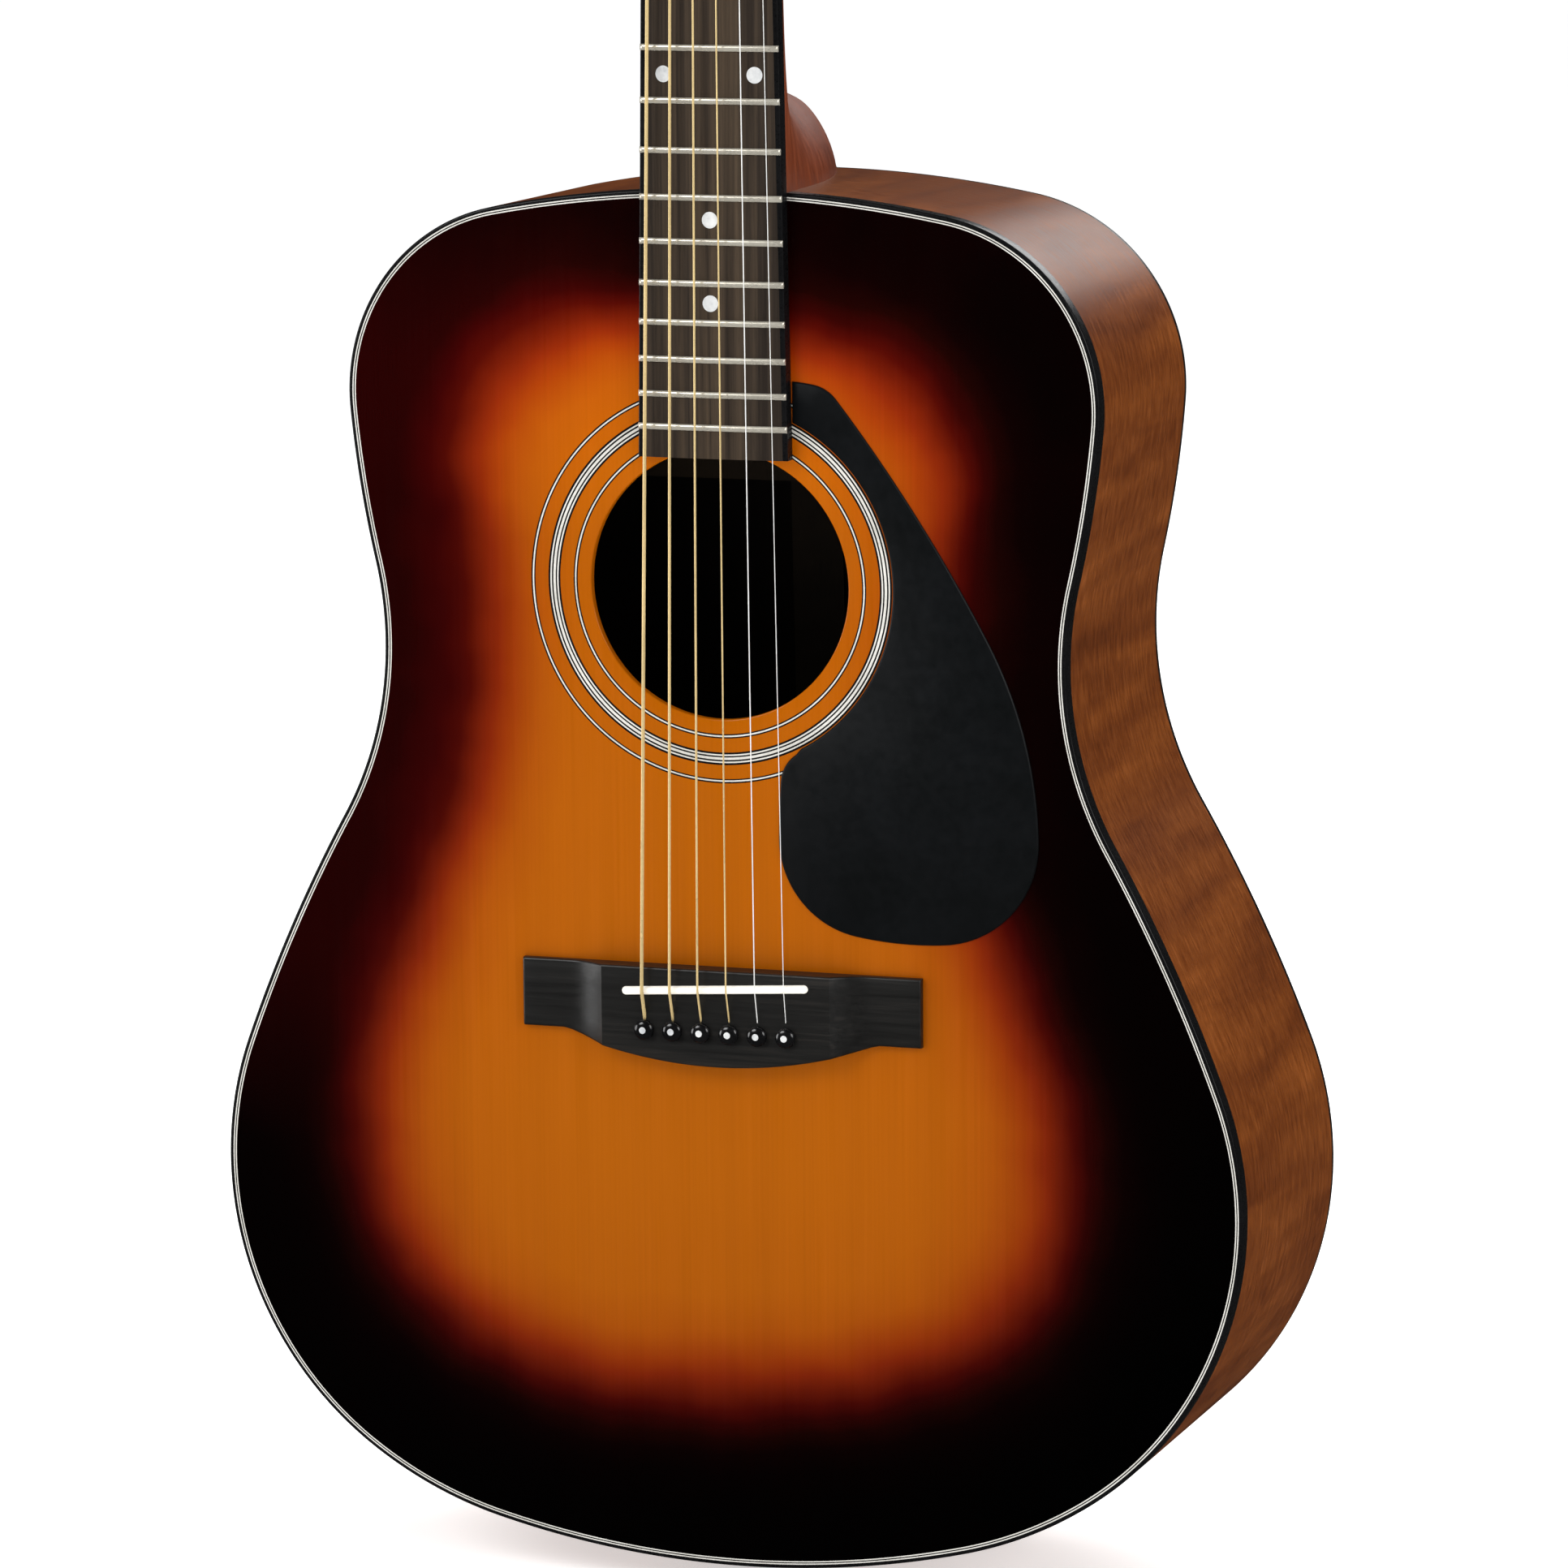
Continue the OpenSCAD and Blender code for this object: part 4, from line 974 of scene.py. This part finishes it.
def add_fingerboard():
    rings = []
    for z in board_stations():
        half = board_half(z) - EDGE_W
        across = [half * (i / 8 - 1) for i in range(17)]
        rings.append([(-half, TOP_Y, z)] + [(x, board_top(x), z) for x in across] + [(half, TOP_Y, z)])
    piece("board_wood", Shell().loft(rings), [BOARD_WOOD], stands_for=["fingerboard"])
    soft = rounded_corner(0.45, 3)
    shell = Shell()
    for side in (-1, 1):
        rings = []
        for z in board_stations():
            half = board_half(z)
            edge = [(half - EDGE_W, TOP_Y), (half - EDGE_W, board_top(half - EDGE_W))]
            edge += [(half - i, board_top(half) + d) for i, d in soft] + [(half, TOP_Y)]
            rings.append([(side * x, y, z) for x, y in edge])
        shell.loft(rings)
    piece("board_edges", shell, [BLACK_EDGE], stands_for=["fingerboard_binding"])


def add_frets():
    half_w = 1.15
    height = 1.0
    shell = Shell()
    for n in range(1, 21):
        z = fret_z(n)
        half = board_half(z)
        ends = [(0.0, 0.25), (0.3, 0.6), (0.8, 0.88), (1.4, 1.0)]
        stations = [(-half + d, s) for d, s in ends] + [(half * (i / 6 - 1) * 0.9, 1.0) for i in range(1, 12)]
        stations += [(half - d, s) for d, s in reversed(ends)]
        rings = []
        for x, share in stations:
            base = board_top(x)
            bow = [math.pi * i / 10 for i in range(11)]
            ring = [(x, base - height * share * math.sin(a) ** 0.8, z + half_w * math.cos(a)) for a in bow]
            rings.append(ring + [(x, base + 0.3, z - half_w), (x, base + 0.3, z + half_w)])
        shell.loft(rings)
    piece("fret_wires", shell, [NICKEL], stands_for=["frets"], sharp=50)


def add_dots():
    lift = 0.04
    shell = Shell()
    places = [(0.0, (fret_z(n) + fret_z(n - 1)) / 2) for n in SINGLE_DOTS]
    pair_z = (fret_z(PAIR_DOT) + fret_z(PAIR_DOT - 1)) / 2
    places += [(-PAIR_X, pair_z), (PAIR_X, pair_z)]
    for x, z in places:
        lathe(shell, [(0, 1), (3.0, 1), (3.0, 0.02), (2.9, -lift), (1.5, -lift), (0, -lift)],
              lambda across, up, along, x=x, z=z: (x + across, board_top(x + across) + up, z + along))
    for n in SINGLE_DOTS + (PAIR_DOT,):
        z = (fret_z(n) + fret_z(n - 1)) / 2
        half = board_half(z)
        lathe(shell, [(0, 0.6), (1.0, 0.6), (1.0, -0.01), (0.9, -0.04), (0, -0.04)],
              lambda across, up, along, z=z, half=half: (-half + up, TOP_Y - 3.5 + across, z + along), 24)
    piece("board_dots", shell, [PEARL_DOT], stands_for=["fingerboard_dots"])


# ---------------------------------------------------------------- pickguard, bridge and strings
GUARD_ARCS = ((-68, 7), (-13.8, 40.8), (-593, 9.9), (-155, 27.8), (-39, 86.4), (-136, 14.1), (-35, 81.3),
              (-446, 2.6), (-13.5, 53.4))
GUARD_T = 0.9
GUARD_TOP_Z = 440.4
GUARD_RING_R = 66.3


def add_pickguard():
    start_x = board_half(BOARD_END_Z) + 0.1
    outer = half_outline(GUARD_ARCS, (start_x, GUARD_TOP_Z), -3.6, closes=False)
    ring = [polar(GUARD_RING_R, a, 0, HOLE_Z) for a in range(-62, 65, 2)]
    end = (start_x, HOLE_Z + math.sqrt(GUARD_RING_R ** 2 - start_x ** 2))
    loop = (outer + ring + [end])[::-1]
    steps = ((0.0, 0.0), (0.0, 0.3), (0.25, 0.62), (0.75, GUARD_T))
    loops = [inset_loop(loop, inset) if inset else loop for inset, _ in steps]
    shell = Shell()
    shell.wall([[(x, TOP_Y - up, z) for x, z in edge] for edge, (_, up) in zip(loops, steps)])
    shell.plate(loops[0], lambda x, z: (x, TOP_Y, z))
    shell.plate(loops[-1], lambda x, z: (x, TOP_Y - GUARD_T, z))
    piece("guard_sheet", shell, [GUARD], stands_for=["pickguard"], sharp=50)


BRIDGE_HALF = high("bridge")[0]
BRIDGE_TOP_Z = high("bridge")[2]
BRIDGE_T = TOP_Y - low("bridge")[1]
WING_T = 3.0
WING_Z = BRIDGE_TOP_Z - 25.5
BELLY_L = WING_Z - low("bridge")[2]
BLOCK_X = 44.0
RAMP_L = 14.0
BELLY_HALF = BLOCK_X + 16
PIN_Z = (low("bridge_pins")[2] + high("bridge_pins")[2]) / 2
SADDLE_SPREAD = 54.6
NUT_SPREAD = 35.0
SADDLE_SLANT = math.radians(3.5)
SADDLE_Z = (low("saddle")[2] + high("saddle")[2]) / 2
SADDLE_W = 72.0
SADDLE_T = 3.1
SADDLE_CREST = TOP_Y - low("saddle")[1]
NUT_CREST = 8.3


def bridge_height(x):
    t = min(max((BLOCK_X + RAMP_L - abs(x)) / RAMP_L, 0.0), 1.0)
    return WING_T + (BRIDGE_T - WING_T) * t ** 1.8


def bridge_low(x):
    share = min(abs(x) / BELLY_HALF, 1.0)
    return WING_Z - BELLY_L * (1 - share * share)


def add_bridge():
    soft = 0.9
    corner = rounded_corner(soft, 4)
    right = [BLOCK_X * i / 12 for i in range(13)] + [BLOCK_X + RAMP_L * i / 10 for i in range(1, 11)]
    right += [61, 66, 71, BRIDGE_HALF - soft]
    ends = [(BRIDGE_HALF - i, d) for i, d in corner[1:]]
    stations = [(-x, d) for x, d in reversed(ends)] + [(-x, 0.0) for x in reversed(right[1:])]
    stations += [(x, 0.0) for x in right] + ends
    rings = []
    for x, down in stations:
        top = bridge_height(x) - down
        foot = bridge_low(x)
        ring = [(x, TOP_Y, foot), (x, TOP_Y - 0.4 * top, foot)]
        ring += [(x, TOP_Y - top + d, foot + i) for i, d in reversed(corner)]
        ring += [(x, TOP_Y - top, foot + (BRIDGE_TOP_Z - foot) * s / 4) for s in (1, 2, 3)]
        ring += [(x, TOP_Y - top + d, BRIDGE_TOP_Z - i) for i, d in corner]
        ring += [(x, TOP_Y - 0.4 * top, BRIDGE_TOP_Z), (x, TOP_Y, BRIDGE_TOP_Z)]
        rings.append(ring)
    piece("bridge_block", Shell().loft(rings), [BRIDGE_WOOD], stands_for=["bridge"], sharp=28)


def add_saddle():
    half = SADDLE_W / 2 - SADDLE_T / 2
    turn = [math.pi * i / 10 for i in range(11)]

    def stadium(radius):
        right = [(half + radius * math.sin(a), -radius * math.cos(a)) for a in turn]
        return right + [(-x, -z) for x, z in right]

    def put(x, z, down):
        sx = x * math.cos(SADDLE_SLANT) - z * math.sin(SADDLE_SLANT)
        return (sx, TOP_Y - SADDLE_CREST + crown_drop(sx) + down,
                SADDLE_Z + x * math.sin(SADDLE_SLANT) + z * math.cos(SADDLE_SLANT))

    r = SADDLE_T / 2
    levels = [(r, SADDLE_CREST - 5.5), (r, r)]
    levels += [(r * math.cos(math.radians(a)), r * (1 - math.sin(math.radians(a)))) for a in (20, 40, 60, 80)]
    rings = [[put(x, z, down) for x, z in stadium(radius)] for radius, down in levels]
    piece("saddle_bone", Shell().loft(rings), [BONE], stands_for=["saddle"])


def pin_place(side):
    return lambda across, up, along: (side * SADDLE_SPREAD + across, TOP_Y - BRIDGE_T - up, PIN_Z + along)


def add_pins():
    head = [(0, -17), (2.2, -17), (2.6, -15), (2.6, 0), (3.3, 0), (3.75, 0.35), (3.8, 0.9), (3.7, 1.4),
            (3.35, 1.8), (2.9, 2.15), (2.3, 2.42), (1.7, 2.56), (1.3, 2.6), (1.25, 2.5), (0, 2.5)]
    dot = [(0, 1.5), (1.25, 1.5), (1.25, 2.58), (1.1, 2.66), (0.6, 2.72), (0, 2.73)]
    pins = Shell()
    dots = Shell()
    for side in STRING_PLACES:
        lathe(pins, head, pin_place(side))
        lathe(dots, dot, pin_place(side), 24)
    piece("pin_bodies", pins, [PIN_BLACK], stands_for=["bridge_pins"])
    piece("pin_dots", dots, [PEARL_DOT], stands_for=["bridge_pin_dots"])


BALL_R = 1.9
TURNS = 3
TURN_STEPS = 28
TURNS_HEIGHT = 4.6
TURN_Y = -8.0
POST_R = 3.0


def string_places(k):
    side = STRING_PLACES[6 - k]
    return side * SADDLE_SPREAD, side * NUT_SPREAD, STRING_RADII[k - 1]


def add_string(k):
    xs, xn, r = string_places(k)
    px, pz, side = post_place(k)
    reach = POST_R + 0.05 + r
    plate_y = TOP_Y + SOUNDBOARD_T + 2.5
    groove = PIN_Z + 1.8
    saddle_z = SADDLE_Z + xs * math.tan(SADDLE_SLANT)
    saddle_y = TOP_Y - SADDLE_CREST + crown_drop(xs) - r
    nut_y = TOP_Y - NUT_CREST + crown_drop(xn) - r
    over = Vector((xs, saddle_y, saddle_z))
    foot = Vector((xs, TOP_Y - BRIDGE_T + 0.4, PIN_Z + 3.9))
    nut = Vector((xn, nut_y, NUT_Z + 0.5))
    touch = Vector(head_point(px - side * reach, TURN_Y, pz))
    down = (foot - over).normalized()
    up = (nut - over).normalized()
    path = [Vector((xs, plate_y, groove)), Vector((xs, TOP_Y - BRIDGE_T + 2.6, groove)), foot]
    path += [over + down * 1.2, over + (down + up) * 0.12, over + up * 1.2]
    path += [nut - up * 1.0, nut, nut + (touch - nut).normalized() * 1.0, touch]
    wire = PLAIN_STRING if k <= 2 else WOUND_STRING
    shell = tube(Shell(), path, r)
    lathe(shell, [(0, -BALL_R)] + [polar(BALL_R, a) for a in range(-70, 71, 20)] + [(0, BALL_R)],
          lambda across, h, along: (xs + across, plate_y + BALL_R + h, PIN_Z + 4.6 + along), 20)
    piece("string_wire_%d" % k, shell, [wire], stands_for=["string_%d" % k])
    # Turns wind from the string's touching point up to the post's hole, and a short tail sticks out of it
    turn_gap = min(2 * r * 1.02, TURNS_HEIGHT / TURNS)
    coil = []
    for i in range(TURNS * TURN_STEPS + TURN_STEPS // 4 + 1):
        a = math.pi - 2 * math.pi * i / TURN_STEPS
        y = TURN_Y - turn_gap * i / TURN_STEPS
        coil.append(head_point(px + side * reach * math.cos(a), y, pz + reach * math.sin(a)))
    hole_y = -13.0
    tail = [head_point(px, hole_y, pz + 2.0), head_point(px, hole_y, pz - POST_R),
            head_point(px - side * 1.2, hole_y - 0.5, pz - POST_R - 3.5)]
    shell = tube(Shell(), coil + tail, r * 0.96, 10)
    piece("string_turns_%d" % k, shell, [wire], body="post_%d" % k)


# ---------------------------------------------------------------- tuners
HOUSING_T = 11.0
HOUSING_R = 9.5
HOUSING_CORNER = 4.0
HOUSING_LOW_Z = -12.5
TAB_R = 3.2
SCREW_Z = 12
BUTTON_HALF = (9.3, 3.5, 7.7)
GEAR_Y = HEAD_T + 5.5
WORM_DROP = 10.0


def tuner_place(k):
    """Puts a point given from a post's foot, with X outwards, into the row's frame."""
    px, pz, side = post_place(k)
    return lambda x, y, z: head_point(px + side * x, y, pz + z)


def housing_loop(inset):
    """Round at the post, squarer over the worm."""
    corner = HOUSING_CORNER - inset
    corner_x = HOUSING_R - HOUSING_CORNER
    top = [polar(HOUSING_R - inset, a) for a in range(0, 181, 10)]
    left = [polar(-corner, a, -corner_x, HOUSING_LOW_Z) for a in range(0, 91, 15)]
    quarter = [math.radians(a) for a in range(0, 91, 15)]
    right = [(corner_x + corner * math.sin(a), HOUSING_LOW_Z - corner * math.cos(a)) for a in quarter]
    return top + left + right


def add_housing(shell, place):
    soft = rounded_corner(2.8, 6)
    back = HEAD_T + HOUSING_T
    panel = [(x * 0.62, z * 0.62 - 1.3) for x, z in housing_loop(1.2)]
    levels = [(housing_loop(0.3), HEAD_T), (housing_loop(0.0), HEAD_T + 0.3)]
    levels += [(housing_loop(i), back - d) for i, d in reversed(soft)] + [(panel, back), (panel, back - 0.35)]
    shell.loft([[place(x, y, z) for x, z in loop] for loop, y in levels])
    tab = [polar(TAB_R, a, 0, SCREW_Z) for a in range(0, 181, 12)] + [(-TAB_R, 5.0), (TAB_R, 5.0)]
    shell.loft([[place(x, y, z) for x, z in inset_loop(tab, i)] for i, y in
                ((0.0, HEAD_T), (0.0, HEAD_T + 2.5), (0.2, HEAD_T + 2.85), (0.6, HEAD_T + 3.0))])
    # Collar where the button's shaft leaves the housing
    lathe(shell, [(3.6, 8.5), (3.6, 11.2), (3.2, 11.7), (2.2, 11.9), (0, 11.9)],
          lambda across, out, along: place(out, GEAR_Y + across, -WORM_DROP + along), 28)


def add_screw(shell, place):
    lathe(shell, [(0, -7.5), (1.1, -7.4), (1.1, 3.0), (2.3, 3.0), (2.3, 3.5), (1.9, 4.0), (1.2, 4.25),
                  (0.5, 4.3)],
          lambda across, up, along: place(across, HEAD_T + up, SCREW_Z + along), 24)


def button_edge(k):
    """How far the headstock's edge lies outside a post, beside its button."""
    return 33 + 1.9 * post_row(k) - abs(post_place(k)[0])


def add_button(k):
    """A kidney-shaped button on its shaft, with a small collar."""
    place = tuner_place(k)
    start = button_edge(k) + 7.0
    middle = start + 9.0
    shell = Shell()
    lathe(shell, [(0, 0.5), (1.85, 0.5), (1.85, start - 2.2), (3.0, start - 2.0), (3.3, start - 1.2),
                  (3.0, start - 0.4), (2.4, start + 0.6), (2.6, start + 2.5), (0, start + 3.0)],
          lambda across, out, along: place(out, GEAR_Y + across, -WORM_DROP + along), 28)
    rings = []
    half_x, half_y, half_z = BUTTON_HALF
    for i in range(1, 20):
        lat = math.pi * (i / 20 - 0.5)
        rise = half_y * math.copysign(abs(math.sin(lat)) ** 0.7, lat)
        wide = math.cos(lat) ** 0.45
        ring = []
        for a in full_turn(40):
            waist = 1 - 0.10 * math.exp(-(((a - math.pi) + math.pi) % (2 * math.pi) - math.pi) ** 2 / 0.12)
            x = half_x * math.copysign(abs(math.cos(a)) ** 0.85, math.cos(a)) * waist
            z = half_z * math.copysign(abs(math.sin(a)) ** 0.85, math.sin(a))
            ring.append(place(middle + x * wide, GEAR_Y + rise, -WORM_DROP + z * wide))
        rings.append(ring)
    shell.loft(rings)
    piece("button_chrome_%d" % k, shell, [CHROME], body="button_%d" % k,
          stands_for=["tuner_button_%d" % k], sharp=50)


# Each level of a bushing's nut: half its width across the flats, its Y, and whether it is six-sided there
HEX_LEVELS = ((4.6, -0.7, False), (5.0, -0.8, True), (5.0, -2.5, True), (4.55, -3.0, False),
              (3.1, -3.05, False), (3.1, -2.0, False))
HEX_CORNER_R = 5.65


def hex_ring(place, flat, y, six_sided):
    ring = []
    for a in full_turn(48):
        wedge = (a % (math.pi / 3)) - math.pi / 6
        r = min(flat / math.cos(wedge) if six_sided else flat, HEX_CORNER_R)
        ring.append(place(r * math.cos(a), y, r * math.sin(a)))
    return ring


def add_tuners():
    housings = Shell()
    screws = Shell()
    bushings = Shell()
    for k in TUNERS:
        place = tuner_place(k)
        add_housing(housings, place)
        add_screw(screws, place)
        lathe(bushings, [(3.1, HEAD_T), (4.95, HEAD_T), (4.95, 0.0), (7.0, 0.0), (7.2, -0.2), (7.2, -0.55),
                         (7.0, -0.8), (5.0, -0.8)],
              place, 40)
        bushings.loft([hex_ring(place, *level) for level in HEX_LEVELS])
        add_button(k)
    piece("housing_shells", housings, [CHROME], stands_for=["tuner_housings"])
    piece("housing_screws", screws, [CHROME], stands_for=["tuner_screws"])
    piece("bushing_nuts", bushings, [CHROME], stands_for=["tuner_bushings"])


def add_strap_button():
    profile = [(0, 17), (3.2, 17), (3.2, 0), (6.0, 0), (6.0, -0.9), (5.6, -1.2), (4.4, -1.6), (4.0, -2.6),
               (3.9, -4.2), (4.4, -5.4), (6.2, -6.0), (6.9, -6.5), (7.0, -7.4), (6.6, -8.3), (5.6, -8.8),
               (2.0, -9.0), (1.8, -8.6), (0, -8.6)]
    shell = lathe(Shell(), profile, lambda x, h, y: (x, y, h), 48)
    piece("strap_knob", shell, [PIN_BLACK], stands_for=["strap_button"])


# ---------------------------------------------------------------- pieces that keep their CAD shape
CAD_EDGE = 0.25


def refine(node, material, width=0.0):
    """Gives a CAD node its material, and breaks its sharp edges where width is given."""
    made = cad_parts[node]
    made.data.materials.clear()
    made.data.materials.append(material)
    if width:
        weld = made.modifiers.new("weld", "WELD")
        weld.merge_threshold = 0.00001
        bevel = made.modifiers.new("bevel", "BEVEL")
        bevel.width = width * MM
        bevel.segments = 2
        bevel.limit_method = "ANGLE"
        bevel.angle_limit = math.radians(35)


def dress_cad_nodes():
    # The inner woods here carry painted shade, darker than the real wood.
    for material, nodes in (
            (SHADED_LINING_WOOD, ("top_linings", "back_linings")),
            (SHADED_BLOCK_WOOD, ("neck_block", "tail_block", "bridge_plate")),
            (SHADED_BRACE_WOOD, ("x_braces", "upper_face_brace", "tone_bars", "finger_braces", "soundhole_braces",
                          "back_braces", "back_seam_strip")),
            (STEEL, ("truss_rod", "neck_bolts")),
            (BRASS, ("truss_rod_nut",))):
        for node in nodes:
            refine(node, material)
    refine("nut", BONE, CAD_EDGE)
    for k in TUNERS:
        refine("tuner_post_%d" % k, CHROME, CAD_EDGE)


# ---------------------------------------------------------------- stage
def add_floor():
    made = Finish("studio_floor", Roughness=0.9, Specular_IOR_Level=0.1, Emission_Color=(1, 1, 1, 1),
                  Emission_Strength=0.5)
    cloud = made.cloud(1.5)
    made.color(made.ramp(made.spread(cloud, 0.3, 0.7), ((0.0, (250, 250, 250)), (1.0, (253, 253, 253)))))
    r = 40.0
    level = cad_lo[2] - 0.0006
    mesh = bpy.data.meshes.new("floor")
    mesh.from_pydata([(-r, -r, level), (r, -r, level), (r, r, level), (-r, r, level)], [], [(0, 1, 2, 3)])
    mesh.materials.append(made.material)
    floor = put_in_scene("floor", mesh)
    floor.visible_glossy = False


def add_light(name, place, aim, size, power, mirrored_in_gloss=True):
    data = bpy.data.lights.new(name, "AREA")
    data.shape = "DISK"
    data.size = size
    data.energy = power
    lamp = put_in_scene(name, data)
    lamp.location = place
    lamp.visible_glossy = mirrored_in_gloss
    lamp.rotation_mode = "QUATERNION"
    lamp.rotation_quaternion = (Vector(aim) - Vector(place)).to_track_quat("-Z", "Y")


WORLD_DIFFUSE = 0.55
WORLD_GLOSSY = 0.03
LAMP_AIM = (0.0, 0.0, 0.35)


def add_world():
    world = bpy.data.worlds.new("studio")
    world.use_nodes = True
    tree = world.node_tree
    shader = tree.nodes["Background"]
    shader.inputs["Color"].default_value = (1, 1, 1, 1)
    rays = tree.nodes.new("ShaderNodeLightPath")
    share = tree.nodes.new("ShaderNodeMapRange")
    share.inputs["To Min"].default_value = WORLD_DIFFUSE
    share.inputs["To Max"].default_value = WORLD_GLOSSY
    tree.links.new(rays.outputs["Is Glossy Ray"], share.inputs["Value"])
    seen = tree.nodes.new("ShaderNodeMath")
    seen.operation = "MAXIMUM"
    tree.links.new(share.outputs["Result"], seen.inputs[0])
    tree.links.new(rays.outputs["Is Camera Ray"], seen.inputs[1])
    tree.links.new(seen.outputs[0], shader.inputs["Strength"])
    bpy.context.scene.world = world


def add_lights():
    add_light("key", (-1.9, -2.6, 2.4), LAMP_AIM, 1.8, 62)
    add_light("fill", (2.9, -1.6, 1.5), LAMP_AIM, 1.8, 46)
    add_light("left", (-2.6, -0.95, 0.3), (0.0, 0.0, 0.2), 1.3, 24)
    add_light("rim_light", (0.6, 2.9, 2.2), LAMP_AIM, 1.8, 45)
    add_light("top", (0.0, 0.0, 3.6), LAMP_AIM, 3.0, 60, False)


add_soundboard()
add_purfling()
add_rosette()
add_bindings()
add_sides()
add_back()
add_neck()
add_heel_cap()
add_headstock()
add_fingerboard()
add_frets()
add_dots()
add_pickguard()
add_bridge()
add_saddle()
add_pins()
for number in TUNERS:
    add_string(number)
add_tuners()
add_strap_button()
dress_cad_nodes()
add_floor()
add_world()
add_lights()
